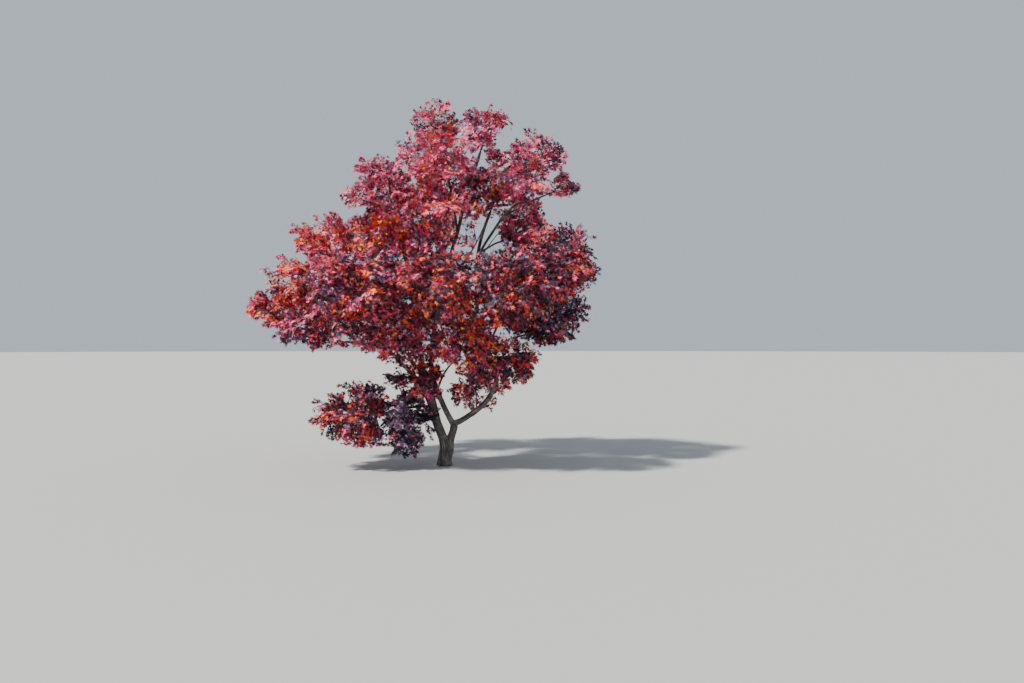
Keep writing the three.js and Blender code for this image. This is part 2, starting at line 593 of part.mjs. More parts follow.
const tree = new THREE.Group();
const rows = LIMBS.filter(({ mass }) => mass);
const spaces = new Map(rows.map((row) => [row.mass, spaceOf(row)]));
const inOrder = [...spaces.values()];
inOrder.forEach((a, i) => inOrder.slice(i + 1).forEach((b) => partSpaces(a, b)));
const limbs = growLimbs(spaces);
for (const limb of limbs.values()) {
  sampleLimb(limb);
  tree.add(meshOf(limb.name, limb.solid, bark));
}
rows.forEach((row, i) => {
  const solid = growMass(row, spaces.get(row.mass), limbs, seeded(i + 1));
  tree.add(meshOf(`foliage_${row.mass}`, solid, leaf));
});

export default tree;
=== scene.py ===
# %% [markdown]
# # A Japanese maple in autumn leaf
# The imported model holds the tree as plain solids: a trunk, its boughs, and masses of foliage made of a
# few large blades. Here each of them gets the surface that the real tree has. The bark becomes a relief
# on smooth round limbs, and each mass becomes twigs, twiglets and thousands of small palmate leaves.
# The lesson in it is how to grow many small things by one rule, as whole arrays of numbers.

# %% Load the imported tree
import json
import math
from collections import namedtuple

import bpy
import numpy as np
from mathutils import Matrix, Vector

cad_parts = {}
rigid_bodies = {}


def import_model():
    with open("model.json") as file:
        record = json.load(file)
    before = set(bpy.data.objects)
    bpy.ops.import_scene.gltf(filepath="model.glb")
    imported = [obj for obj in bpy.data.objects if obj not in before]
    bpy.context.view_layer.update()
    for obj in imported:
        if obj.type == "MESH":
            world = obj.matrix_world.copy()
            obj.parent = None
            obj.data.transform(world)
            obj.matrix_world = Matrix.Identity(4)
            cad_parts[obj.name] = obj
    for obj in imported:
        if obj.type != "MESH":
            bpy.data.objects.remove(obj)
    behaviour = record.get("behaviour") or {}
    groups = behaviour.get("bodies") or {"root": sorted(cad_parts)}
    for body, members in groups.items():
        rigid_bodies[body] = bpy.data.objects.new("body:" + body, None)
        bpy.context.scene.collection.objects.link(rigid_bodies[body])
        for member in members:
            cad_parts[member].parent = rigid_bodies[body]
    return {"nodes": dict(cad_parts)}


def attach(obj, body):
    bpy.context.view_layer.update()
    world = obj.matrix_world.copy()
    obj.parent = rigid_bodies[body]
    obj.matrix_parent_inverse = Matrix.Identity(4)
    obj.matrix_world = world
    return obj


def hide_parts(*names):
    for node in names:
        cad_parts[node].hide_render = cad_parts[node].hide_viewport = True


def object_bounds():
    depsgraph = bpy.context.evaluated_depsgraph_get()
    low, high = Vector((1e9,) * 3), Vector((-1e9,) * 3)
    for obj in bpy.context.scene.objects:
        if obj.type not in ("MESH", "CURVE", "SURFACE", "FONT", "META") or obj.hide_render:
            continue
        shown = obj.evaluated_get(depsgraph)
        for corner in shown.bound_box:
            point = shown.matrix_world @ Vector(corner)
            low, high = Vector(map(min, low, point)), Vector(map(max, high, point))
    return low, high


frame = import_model()
cad_low, cad_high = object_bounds()
print("packed tree", [round(x, 3) for x in (*cad_low, *cad_high)], len(frame["nodes"]), "nodes")

# %% [markdown]
# ## The camera
# The tree is seen by someone who stands on level ground and looks straight ahead, so the horizon lies near
# the middle of the picture. A wide lens could be guessed by eye, but it is worked out instead: the eye's
# height over the ground and the tree's distance follow from where the horizon and the foot of the trunk
# lie.

# %% Camera
PICTURE_WIDTH = 1024
PICTURE_HEIGHT = 683
HORIZON_ROW = 345
FOCAL_PIXELS = 796
SENSOR_WIDTH = 36.0
EYE_PLACE = (0.893, -10.6, 1.6)
FARTHEST_SEEN = 300

camera_data = bpy.data.cameras.new("eye")
camera_data.sensor_width = SENSOR_WIDTH
camera_data.lens = SENSOR_WIDTH * FOCAL_PIXELS / PICTURE_WIDTH
camera_data.clip_end = FARTHEST_SEEN
camera = bpy.data.objects.new("eye", camera_data)
camera.location = EYE_PLACE
look_up = math.atan((HORIZON_ROW - PICTURE_HEIGHT / 2) / FOCAL_PIXELS)
camera.rotation_euler = (math.pi / 2 + look_up, 0, 0)
bpy.context.scene.collection.objects.link(camera)
bpy.context.scene.camera = camera
print("lens", round(camera_data.lens, 2), "mm, tilted up", round(math.degrees(look_up), 2), "degrees")

# %% [markdown]
# ## The plan of the tree
# A tree is a family: each limb grows from a place on its parent. The same table that shapes the packed
# solids is written here again, so that what grows here grows on from them. Places are percentages of the
# crown's reach to that side, of its depth and of its height. Each bough carries one mass of foliage, and
# each mass has three numbers of its own: how much painted light its leaves get, from painted shade to
# painted sunlight, how much they tend to orange, and what share of its sprays stays, so that thin masses
# let more light through.

# %% Main sizes, in metres
TREE_HEIGHT = 4.85
CROWN_LEFT = 2.57
CROWN_RIGHT = 2.04
CROWN_DEPTH = 1.95
UP = np.array([0.0, 0.0, 1.0])
SIDEWAYS = np.array([1.0, 0.0, 0.0])


def place(side, depth, level):
    """A point in metres: percentages times the crown's reach on that side, its depth and its height."""
    reach = CROWN_LEFT if side < 0 else CROWN_RIGHT
    return np.array([side / 100 * reach, depth / 100 * CROWN_DEPTH, level / 100 * TREE_HEIGHT])


print("the crown reaches from", place(-100, 0, 0)[0], "to", place(100, 0, 0)[0])

# %% Stems and boughs
# Stems with a tip of their own: name, parent, share of the parent's length, bow, radii in mm, tip.
STEMS = [
    ("right_stem", "trunk", 0.06, -0.05, (54, 47), (5.9, -1, 11.8)),
    ("right_bough", "right_stem", 0.97, -0.13, (38, 35), (34.3, -3.1, 24.3)),
    ("centre_stem", "right_stem", 0.95, -0.1, (35, 30), (-5.8, -2.1, 36)),
]

# Boughs that carry a mass: name, parent, share, bow, radii in mm, then of the mass its name, middle, half
# size as percentages of the height, count of main twigs, painted light, warmth and share of sprays that stay.
# A mass whose bough has no name grows straight on the parent.
Bough = namedtuple("Bough", "name parent at bow radii mass middle sizes twigs bright warm full")
BOUGHS = [Bough(*row) for row in [
    ("right_riser", "right_bough", 0.98, 0.03, (34, 18),
     "upper_right", (29.4, 19.5, 79.4), (10.3, 11.6, 11.3), 7, 0.78, 0.1, 0.87),
    ("leader", "centre_stem", 0.99, 0.015, (29, 19),
     "top_right", (26.8, -8.7, 91.9), (7.2, 7.2, 7.7), 7, 0.74, 0.05, 0.96),
    ("left_fork", "leader", 0.56, 0.03, (17, 14),
     "top_left", (-5.6, 11.8, 94.8), (8.2, 7.5, 7.7), 6, 0.72, 0.04, 0.91),
    ("upper_centre_bough", "left_fork", 0.3, 0.05, (16, 13),
     "upper_centre", (-2.8, -19.5, 81), (12.4, 12.9, 10.3), 7, 0.75, 0.2, 0.93),
    ("mid_centre_bough", "leader", 0.28, 0.06, (16, 13),
     "mid_centre", (3, -28.7, 65.5), (11.4, 11.1, 10.8), 7, 0.62, 0.25, 0.93),
    ("right_upper_bough", "right_riser", 0.7, 0.05, (19, 16),
     "right_upper", (58.4, -16.4, 80), (11.3, 11.1, 11.3), 7, 0.65, 0.08, 0.8),
    ("right_twig_bough", "right_upper_bough", 0.6, 0.05, (13, 10),
     "right_twig", (73, -12.8, 76), (7.7, 4.4, 3.6), 3, 0.76, 0.06, 0.87),
    ("right_mid_bough", "right_riser", 0.72, 0.04, (15, 12),
     "right_mid", (48.2, 16.9, 67.3), (7.9, 10.3, 9.5), 6, 0.7, 0.22, 0.9),
    ("left_leader", "trunk", 0.98, 0.03, (46, 18),
     "left_upper", (-26.3, -16.9, 74.2), (13.7, 12.9, 10.8), 7, 0.73, 0.16, 0.92),
    ("left_centre_bough", "left_leader", 0.5, 0.06, (16, 13),
     "left_centre", (-24.1, -24.6, 62.3), (13.4, 13.4, 11.1), 7, 0.66, 0.28, 0.96),
    ("left_shoulder_bough", "left_leader", 0.4, 0.06, (19, 14),
     "left_shoulder", (-58, 19.5, 60.9), (17.5, 14.4, 11.6), 7, 0.7, 0.34, 0.95),
    ("left_bough", "trunk", 0.94, 0.06, (34, 14),
     "left_mid", (-72.6, 13.3, 49.6), (16, 14.4, 10.8), 7, 0.64, 0.52, 0.96),
    ("far_left_bough", "left_bough", 0.6, 0.09, (15, 12),
     "far_left", (-87.2, -6.2, 43.4), (8.4, 8.6, 5.6), 5, 0.57, 0.76, 0.93),
    ("left_low_bough", "left_bough", 0.4, 0.05, (16, 13),
     "left_low", (-62.3, -21.5, 38.3), (14.4, 12.9, 7.2), 7, 0.36, 0.45, 0.96),
    ("low_left_bough", "trunk", 0.72, 0.08, (19, 16),
     "low_left", (-41.8, -16.9, 15), (14.4, 12.9, 9.1), 7, 0.26, 0.66, 0.98),
    ("", "trunk", 0.56, 0, (16, 16),
     "low_inner", (-21.2, -10, 13.6), (11.4, 10.8, 12), 7, -0.08, 0.34, 1),
    ("right_shoulder_bough", "right_riser", 0.35, 0.08, (17, 14),
     "right_shoulder", (74.8, -16.9, 55.6), (11.6, 14.4, 11.3), 7, 0.33, 0.45, 0.97),
    ("right_low_bough", "right_riser", 0.14, 0.06, (16, 13),
     "right_low", (68.4, 19.5, 41.8), (12.4, 13.4, 9.8), 7, 0.18, 0.5, 0.98),
    ("", "right_riser", 0.03, 0, (14, 14),
     "right_bottom", (38.2, -18.5, 28.6), (10.5, 10.8, 8.1), 6, 0.36, 0.55, 0.95),
    ("centre_front_bough", "centre_stem", 0.75, 0.08, (16, 13),
     "centre_front", (1, -59, 49.5), (14.4, 14.4, 11.6), 7, 0.4, 0.58, 0.98),
    ("right_front_bough", "right_riser", 0.12, 0.08, (16, 13),
     "right_front", (41.7, -53.8, 47.4), (14.9, 14.4, 11.6), 7, 0.26, 0.6, 1),
    ("left_front_bough", "left_bough", 0.3, 0.08, (16, 13),
     "left_front", (-35, -53.8, 48), (15.5, 15.5, 11.1), 7, 0.5, 0.32, 0.98),
    ("low_front_bough", "centre_stem", 0.4, 0.08, (15, 12),
     "low_front", (13.7, -38.5, 34.6), (11.3, 11.9, 8.8), 7, 0.5, 0.76, 0.98),
    ("low_middle_bough", "trunk", 0.9, 0.08, (15, 12),
     "low_middle", (-20.2, -38.5, 36.9), (13.4, 12.9, 8.4), 7, 0.4, 0.36, 0.98),
    ("centre_back_bough", "left_leader", 0.3, 0.08, (16, 13),
     "centre_back", (-5.8, 56.4, 51.5), (14.9, 15.5, 12.4), 6, 0.36, 0.4, 0.98),
    ("right_back_bough", "right_riser", 0.25, 0.08, (16, 13),
     "right_back", (44.1, 53.8, 48.5), (14.9, 14.4, 12.1), 6, 0.36, 0.45, 0.95),
    ("left_back_bough", "left_leader", 0.22, 0.08, (16, 13),
     "left_back", (-44.7, 51.3, 49.5), (15.5, 14.9, 12.1), 6, 0.46, 0.4, 0.98),
    ("upper_back_bough", "leader", 0.4, 0.08, (15, 12),
     "upper_back", (-16.3, 42.1, 69.7), (12.4, 12.4, 11.3), 6, 0.6, 0.12, 0.85),
    ("", "left_bough", 0.14, 0, (13, 13),
     "fork", (-13.9, -17, 24.6), (9, 8.8, 7.2), 5, 0.34, 0.34, 0.95),
    ("", "right_bough", 0.4, 0, (12, 12),
     "right_inner", (20, 8, 20.4), (8.4, 8, 7.6), 4, 0.4, 0.7, 0.9),
]]
print(len(STEMS) + len(BOUGHS), "limbs and shoots in the plan")

# %% [markdown]
# ## Curves
# A limb bends one way along most of its length, and a curve with one control point says that with three
# points in all: root, middle and tip. The same few functions serve the trunk, the boughs and the last
# twiglet, because they take whole stacks of curves at once.

# %% Curves of one bend
def unit(vectors):
    """Each vector divided by its own length."""
    vectors = np.asarray(vectors, float)
    return vectors / np.maximum(np.linalg.norm(vectors, axis=-1, keepdims=True), 1e-12)


def on_curve(curve, share):
    """Root (1 - s)^2 + middle 2 s (1 - s) + tip s^2. The curve's last two axes are its points and x, y, z."""
    share = np.asarray(share, float)[..., None]
    root, middle, tip = curve[..., 0, :], curve[..., 1, :], curve[..., 2, :]
    return (1 - share) ** 2 * root + 2 * share * (1 - share) * middle + share**2 * tip


def heading_on(curve, share):
    """The unit direction of the curve: (1 - s) (middle - root) + s (tip - middle)."""
    share = np.asarray(share, float)[..., None]
    root, middle, tip = curve[..., 0, :], curve[..., 1, :], curve[..., 2, :]
    return unit((1 - share) * (middle - root) + share * (tip - middle))


def curve_length(curve, parts=200):
    """The length of one curve, as the sum of many short straight parts."""
    points = on_curve(curve, np.linspace(0, 1, parts + 1))
    return float(np.linalg.norm(np.diff(points, axis=0), axis=1).sum())


def bowed_curve(root, tip, bow, sway=0):
    """A curve whose middle rises by bow times its length, square to its chord, and lies sway to the right."""
    chord = tip - root
    along = unit(chord)
    lift = unit(UP - (UP @ along) * along)
    middle = (root + tip) / 2 + 2 * np.linalg.norm(chord) * (bow * lift + sway * SIDEWAYS)
    return np.array([root, middle, tip])


print("a bow of 0.1 on a metre rises", round(float(on_curve(bowed_curve(0 * UP, SIDEWAYS, 0.1), 0.5)[2]), 3))

# %% [markdown]
# ## The rooms of the foliage
# Each mass keeps to an egg-shaped room of its own, cut by a plane where it meets a neighbour. The rooms
# are never seen. They only answer one question, whether a point may hold a twig or a leaf, and that keeps
# the crown's outline and its gaps where they belong.

# %% Egg shapes
def room_of(bough):
    """An egg shape whose axes point outwards from the trunk, across that, and up."""
    middle = place(*bough.middle)
    bearing = math.atan2(middle[1], middle[0])
    out = np.array([math.cos(bearing), math.sin(bearing), 0])
    across = np.array([-math.sin(bearing), math.cos(bearing), 0])
    return {"name": bough.mass, "middle": middle, "axes": np.array([out, across, UP]),
            "sizes": np.array(bough.sizes) / 100 * TREE_HEIGHT, "normals": [], "most": []}


def egg_share(room, offset):
    """The length of an offset from the middle, measured so that it is 1 on the egg shape."""
    return np.linalg.norm(offset @ room["axes"].T / room["sizes"], axis=-1)


rooms = {bough.mass: room_of(bough) for bough in BOUGHS}
print(len(rooms), "rooms")

# %% Planes between the rooms
MASS_CLEAR = 0.003
GROUND_CLEAR = 0.015


def part_rooms(first, second):
    """Puts a plane between two rooms that touch, where their reaches towards each other meet."""
    towards = second["middle"] - first["middle"]
    distance = np.linalg.norm(towards)
    towards = towards / distance
    reaches = [np.linalg.norm(room["axes"] @ towards * room["sizes"]) for room in (first, second)]
    if distance > sum(reaches) + 2 * MASS_CLEAR:
        return
    level = first["middle"] @ towards + distance * reaches[0] / sum(reaches)
    first["normals"].append(towards)
    first["most"].append(level - MASS_CLEAR)
    second["normals"].append(-towards)
    second["most"].append(-level - MASS_CLEAR)


def in_room(room, points, spare=0.0, egg=1.0):
    """True for each point inside the egg shape, over the ground, and spare metres off every plane."""
    inside = egg_share(room, points - room["middle"]) <= egg
    inside &= points[..., 2] > GROUND_CLEAR + spare
    if room["normals"]:
        inside &= (points @ np.array(room["normals"]).T < np.array(room["most"]) - spare).all(-1)
    return inside


for index, first in enumerate(rooms.values()):
    for second in list(rooms.values())[index + 1:]:
        part_rooms(first, second)
print(sum(len(room["normals"]) for room in rooms.values()) // 2, "planes between the rooms")

# %% [markdown]
# The rooms alone would make a crown of separate balls. On the real tree foliage runs on from one mass to
# the next, so the crown gets a smooth outline of its own, which fills the notch where two rooms meet.

# %% Outline of the crown
NOTCH_FILL = 5.0
OUTLINE_SPARE = 0.08


def in_crown(points):
    """True where the rooms' shares together reach an edge: the sum of exp(fill (1 - share)) is 1 or more."""
    shares = [egg_share(room, points - room["middle"]) for room in rooms.values()]
    total = sum(np.exp(NOTCH_FILL * (1 - share)) for share in shares)
    low, high = np.array(cad_low) - OUTLINE_SPARE, np.array(cad_high) + OUTLINE_SPARE
    return (total >= 1) & (points > low).all(-1) & (points < high).all(-1)


print(sum(int(in_crown(room["middle"])) for room in rooms.values()), "rooms have their middle in the crown")

# %% [markdown]
# From the front a few places have to be open, such as the trunk and the gap between the risers. They are
# windows: rectangles of the picture, in which the camera sees few leaves or none.

# %% Windows in the crown
WINDOW_EDGE = 4
# Left, top, right and bottom edge in pixels, and the share of leaves that stays.
WINDOWS = {
    "gap between the risers": (475, 217, 500, 250, 0),
    "left of the gap": (462, 238, 476, 266, 0.7),
    "lower leader": (444, 236, 464, 266, 0.5),
    "upper leader": (454, 212, 475, 238, 0.35),
    "fork of the leader": (442, 217, 458, 229, 0.6),
    "over the gap": (476, 198, 487, 208, 0.5),
    "left of the fork": (410, 206, 424, 219, 0.5),
    "over the fork": (432, 210, 441, 217, 0.6),
    "under the upper right": (496, 176, 508, 186, 0.6),
    "right of the gap": (512, 225, 521, 234, 0.6),
    "notch in the top": (495, 127, 510, 147, 0),
    "trunk": (437, 424, 459, 466, 0),
    "root of the right bough": (458, 397, 478, 421, 0.6),
    "bend of the right bough": (478, 385, 493, 400, 0.6),
    "under the bend": (497, 397, 513, 417, 0),
}


def picture_of(points):
    """Where the camera sees points, in pixels: each offset from the eye over its depth, times the lens."""
    offset = points - np.array(EYE_PLACE)
    column = PICTURE_WIDTH / 2 + FOCAL_PIXELS * offset[..., 0] / offset[..., 1]
    row = HORIZON_ROW - FOCAL_PIXELS * offset[..., 2] / offset[..., 1]
    return column, row


def in_windows(points, random):
    """True where a point would stand in a window as the camera sees it, but for a share that stays in it."""
    column, row = picture_of(points)
    edge = random.normal(0, WINDOW_EDGE / 2, column.shape)
    chance = random.random(column.shape)
    hidden = np.zeros(column.shape, bool)
    for left, top, right, bottom, stays in WINDOWS.values():
        inside = (column > left + edge) & (column < right - edge) & (row > top + edge) & (row < bottom - edge)
        hidden |= inside & (chance >= stays)
    return hidden


print(len(WINDOWS), "windows, and the trunk's foot at pixel", [round(float(x)) for x in picture_of(0 * UP)])

# %% [markdown]
# The real crown has a ragged edge, and light comes through its thin places. A slow noise says where it is
# thick. Two more are kept for the leaves, one for their painted light and shade and one for their warmth,
# which also change slowly through the crown.

# %% Slow noises
THIN_WAVES = (0.3, 0.8)
MOTTLE_WAVES = (0.18, 0.5)
WARMTH_WAVES = (0.5, 1.4)
WAVES_EACH = 24
CROWN_SEED = 7


def waves_of(random, lengths):
    """Plane waves in all directions, with wave lengths between two bounds: their vectors and phases."""
    number = 2 * math.pi / random.uniform(*lengths, WAVES_EACH)
    heading = unit(random.normal(0, 1, (WAVES_EACH, 3)))
    return heading * number[:, None], random.uniform(0, 2 * math.pi, WAVES_EACH)


def slow_noise(points, waves):
    """A smooth noise of about 1: the sum of the waves' cosines over the root of half their count."""
    return np.cos(points @ waves[0].T + waves[1]).sum(-1) / math.sqrt(WAVES_EACH / 2)


crown_random = np.random.default_rng(CROWN_SEED)
thin_waves, mottle_waves, warmth_waves = (waves_of(crown_random, lengths)
                                          for lengths in (THIN_WAVES, MOTTLE_WAVES, WARMTH_WAVES))
print("the crown's middle is thick by", round(float(slow_noise(place(0, 0, 50), thin_waves)), 2))

# %% [markdown]
# ## The limbs
# The trunk leaves the ground upright with a flared foot, and leans to the left higher up. A bough tapers
# from its root to its tip and swells into a collar where it leaves its parent. Only the lines and the
# radii are worked out here. The twigs need them too, to keep clear of every limb.

# %% Radii of the limbs
FOOT_RADIUS = 0.088
STEM_RADIUS = 0.062
SHOULDER = (0.1, 0.42)
FLARE = 0.14
FLARE_HEIGHT = 0.09
COLLAR = 0.22
COLLAR_REACH = 1.6
TAPER_POWER = 0.8


def trunk_radius(height):
    """A smooth step from the foot's radius to the stem's, times a flare that fades with height."""
    part = np.clip((height - SHOULDER[0]) / (SHOULDER[1] - SHOULDER[0]), 0, 1)
    stem = FOOT_RADIUS + (STEM_RADIUS - FOOT_RADIUS) * part**2 * (3 - 2 * part)
    return stem * (1 + FLARE * np.exp(-height / FLARE_HEIGHT))


def bough_radius(share, length, root_radius, tip_radius):
    """A taper by a power of the share, times a collar that fades within a few radii of the root."""
    taper = root_radius + (tip_radius - root_radius) * share**TAPER_POWER
    return taper * (1 + COLLAR * np.exp(-share * length / (COLLAR_REACH * root_radius)))


def limb_radius(limb, share):
    """The radius of a limb at a share of its length."""
    if limb["name"] == "trunk":
        return trunk_radius(on_curve(limb["curve"], share)[..., 2])
    return bough_radius(np.asarray(share, float), limb["length"], *limb["radii"])


print("the trunk is", round(float(2 * trunk_radius(0)), 3), "metres thick at the ground")

# %% Lines of the limbs
TRUNK_TIP = (-12, 1, 22.3)
TRUNK_UPRIGHT = 0.48
TRUNK_STEPS = 12
STEP_LENGTH = 0.33
FEWEST_STEPS = 2
MOST_STEPS = 7
ENTRIES = (0.8, 0.7, 0.6, 0.5, 0.4)
ENTRY_SPARE = 0.025
ENTRY_DROP = 0.25
# Limbs that also swing to the right (or left, below 0) of a straight line, as a share of their length.
SWAYS = {"right_riser": -0.11}


def on_steps(curve, shares, at):
    """A point on the straight pieces between the places that shares give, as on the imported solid."""
    step = max(1, int(np.searchsorted(shares, at)))
    low, high = shares[step - 1], shares[step]
    part = (at - low) / (high - low)
    return (1 - part) * on_curve(curve, low) + part * on_curve(curve, high)


def entry_of(room, root):
    """Where a bough ends: in its room, on its root's side, as far out as the neighbours allow."""
    towards = unit(unit(root - room["middle"]) - ENTRY_DROP * UP)
    for entry in ENTRIES:
        point = room["middle"] + towards * entry / egg_share(room, towards)
        if in_room(room, point, ENTRY_SPARE):
            return point
    raise ValueError(room["name"])


def grow_limb(name, parent, at, bow, radii, goal):
    """A limb from its place on its parent to a tip of its own, or to where it enters the room it names."""
    root = on_steps(limbs[parent]["curve"], limbs[parent]["shares"], at)
    tip = entry_of(rooms[goal], root) if isinstance(goal, str) else place(*goal)
    curve = bowed_curve(root, tip, bow, SWAYS.get(name, 0))
    length = curve_length(curve)
    steps = min(MOST_STEPS, max(FEWEST_STEPS, int(length / STEP_LENGTH + 0.5)))
    return {"name": name, "curve": curve, "length": length, "shares": np.linspace(0, 1, steps + 1),
            "radii": np.array(radii) / 1000}


trunk_tip = place(*TRUNK_TIP)
trunk_curve = np.array([0 * UP, TRUNK_UPRIGHT * trunk_tip[2] * UP, trunk_tip])
limbs = {"trunk": {"name": "trunk", "curve": trunk_curve, "length": curve_length(trunk_curve),
                   "shares": np.linspace(0, 1, TRUNK_STEPS + 1)}}
for name, *rest in [row[:6] for row in STEMS + BOUGHS if row[0]]:
    limbs[name] = grow_limb(name, *rest)
print(len(limbs), "limbs,", round(sum(limb["length"] for limb in limbs.values()), 1), "metres long in all")

# %% [markdown]
# To keep twigs off the limbs, each limb is also held as a row of short straight rods. The distance from a
# rod or a point to all of them at once is one array sum, which takes the place of a slow ray test.

# %% Rods along the limbs
SAMPLES_EACH = 4


def rods_of(limb):
    """The straight rods of a limb: their starts, their ends, and the larger radius of each."""
    shares = np.linspace(0, 1, SAMPLES_EACH * (len(limb["shares"]) - 1) + 1)
    points = np.array([on_steps(limb["curve"], limb["shares"], share) for share in shares])
    radii = limb_radius(limb, shares)
    return points[:-1], points[1:], np.maximum(radii[:-1], radii[1:])


rod_start, rod_end, rod_radius = map(np.concatenate, zip(*[rods_of(limb) for limb in limbs.values()]))
print(len(rod_radius), "rods")

# %% What comes near a limb
LIMB_CLEAR = 0.006
NEAR_REACH = 0.5
NEARLY_PARALLEL = 1e-6


def rod_gap(start, end):
    """The least distance between one segment and each rod, by the two nearest shares, each clamped."""
    u, v, w = end - start, rod_end - rod_start, start - rod_start
    uu, uv, vv, uw, vw = u @ u, v @ u, (v * v).sum(-1), w @ u, (v * w).sum(-1)
    spread = uu * vv - uv * uv
    s = np.where(spread > NEARLY_PARALLEL * uu * vv, (uv * vw - vv * uw) / np.maximum(spread, 1e-15), 0)
    t = np.clip((uv * np.clip(s, 0, 1) + vw) / vv, 0, 1)
    s = np.clip((uv * t - uw) / uu, 0, 1)
    return np.linalg.norm(w + s[:, None] * u - t[:, None] * v, axis=-1)


def clear_of_limbs(start, end, radius):
    """True if a rod of that radius keeps clear of every limb."""
    return bool((rod_gap(start, end) > radius + rod_radius + LIMB_CLEAR).all())


def points_clear(points, spare):
    """True for each point that is spare metres or more outside every rod."""
    away = np.linalg.norm((rod_start + rod_end) / 2 - points.mean(0), axis=1)
    near = away < np.ptp(points, 0).max() + NEAR_REACH
    start, along = rod_start[near], (rod_end - rod_start)[near]
    offset = points[:, None] - start
    part = np.clip((offset * along).sum(-1) / (along * along).sum(-1), 0, 1)
    gap = np.linalg.norm(offset - part[..., None] * along, axis=-1)
    return (gap > rod_radius[near] + spare).all(-1)


print("a plumb line is clear of the limbs:", clear_of_limbs(place(50, 0, 0), place(50, 0, 100), 0))

# %% [markdown]
# ## The main twigs
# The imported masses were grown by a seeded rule: a stem carries on from its bough, and twigs point evenly
# to all sides, each a golden angle further round than the last. The same draws are made here, so that the
# fine twigs grow on the same ones.

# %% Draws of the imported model
GOLDEN_ANGLE = math.pi * (3 - math.sqrt(5))
WORD = 0xFFFFFFFF
COUNTER_STEP = 0x6D2B79F5


def seeded(seed):
    """Numbers from 0 to 1 by the mulberry32 rule: a counter whose bits are stirred by two products."""
    state = seed
    while True:
        state = (state + COUNTER_STEP) & WORD
        t = ((state ^ (state >> 15)) * (state | 1)) & WORD
        t ^= (t + (((t ^ (t >> 7)) * (t | 61)) & WORD)) & WORD
        yield (t ^ (t >> 14)) / 2**32


def even_directions(count, phase):
    """Directions by the golden angle: the rise goes evenly from 1 to -1 while the turn goes round."""
    rise = 1 - (2 * np.arange(count) + 1) / count
    turn = np.arange(count) * GOLDEN_ANGLE + phase
    flat = np.sqrt(1 - rise**2)
    return np.stack([flat * np.cos(turn), flat * np.sin(turn), rise], -1)


print("the first draw is", round(next(seeded(1)), 4))

# %% Shoots in their rooms
PAIR_AT = 0.58
PAIR_ROOT = 0.018
LEVEL_WEIGHT = 0.5
OUTWARD_WEIGHT = 0.85
RANDOM_WEIGHT = 0.3


def side_of(room, curve, chance, level=LEVEL_WEIGHT, out=OUTWARD_WEIGHT):
    """The side that a shoot's sprays spread to: its heading crossed with level, outward and chance."""
    outward = unit(curve[..., 2, :] - room["middle"])
    facing = level * UP + out * outward + 2 * RANDOM_WEIGHT * (chance - 0.5)
    return unit(np.cross(heading_on(curve, 1), facing))


def shoot_shares(curve, bends):
    """The places of a shoot's rings, as shares of its length."""
    half = PAIR_ROOT / curve_length(curve)
    shares = [0, PAIR_AT - half, PAIR_AT + half, 1]
    return np.array(shares[:1] + [PAIR_AT / 2] + shares[1:] if bends else shares)


def shoot_fits(room, curve, shares, radius):
    """True if a shoot keeps to its room and off the limbs."""
    points = on_curve(curve, shares)
    return bool(in_room(room, points, radius).all()) and all(
        clear_of_limbs(a, b, radius) for a, b in zip(points[:-1], points[1:]))


print("a metre of shoot has its pair at", shoot_shares(bowed_curve(0 * UP, SIDEWAYS, 0), False)[1:3].round(3))

# %% Stems and main twigs of the masses
STEM_TIP_RADIUS = 0.007
STEM_SHARE = 0.8
STEM_SINK = 0.006
STEM_LIFT = 0.5
STEM_LEAD = 0.4
STEM_REACH = 0.4
TWIG_RADIUS = 0.0065
TWIG_SHARE = 0.48
TWIG_TIP_RADIUS = 0.0032
TWIG_REACH = 0.52
TWIG_JITTER = 0.08
TWIG_RISE = 0.07
TWIG_BACK = 0.24
TWIG_AT = (0.1, 0.9)
SHOOT_KEYS = ("curves", "root_radii", "tip_radii", "sides")


def main_shoots(bough, seed):
    """Stacks of curves, root radii, tip radii and sides: the stem of a mass, then its main twigs."""
    room, chances = rooms[bough.mass], seeded(seed)
    limb = limbs[bough.name or bough.parent]
    root = on_curve(limb["curve"], 1) if bough.name else on_steps(limb["curve"], limb["shares"], bough.at)
    far = unit(room["middle"] - root)
    heading = heading_on(limb["curve"], 1) if bough.name else unit(far + STEM_LIFT * UP)
    root = root - (STEM_SINK if bough.name else 0) * heading
    end = room["middle"] + far * STEM_REACH / egg_share(room, far)
    stem = np.array([root, root + STEM_LEAD * np.linalg.norm(end - root) * heading, end])
    stem_radius = STEM_SHARE * (float(limb_radius(limb, 1.0)) if bough.name else bough.radii[0] / 1000)
    shares = shoot_shares(stem, True)
    chance = np.array([next(chances) for _ in range(3)])
    shoots = [(stem, stem_radius, STEM_TIP_RADIUS, side_of(room, stem, chance))]
    chord = end - root
    for direction in even_directions(bough.twigs, 2 * math.pi * next(chances)):
        reach = TWIG_REACH + TWIG_JITTER * (2 * next(chances) - 1)
        target = room["middle"] + (direction * room["sizes"] * reach) @ room["axes"]
        at = float(np.clip((target - root) @ chord / (chord @ chord) - TWIG_BACK, *TWIG_AT))
        radius = min(TWIG_RADIUS, TWIG_SHARE * (stem_radius + (STEM_TIP_RADIUS - stem_radius) * at))
        twig = bowed_curve(on_steps(stem, shares, at), target, TWIG_RISE)
        if shoot_fits(room, twig, shoot_shares(twig, False), radius):
            chance = np.array([next(chances) for _ in range(3)])
            shoots.append((twig, radius, TWIG_TIP_RADIUS, side_of(room, twig, chance)))
    return dict(zip(SHOOT_KEYS, map(np.array, zip(*shoots))))


main = {bough.mass: main_shoots(bough, number + 1) for number, bough in enumerate(BOUGHS)}
print(sum(len(shoots["curves"]) for shoots in main.values()), "stems and main twigs")

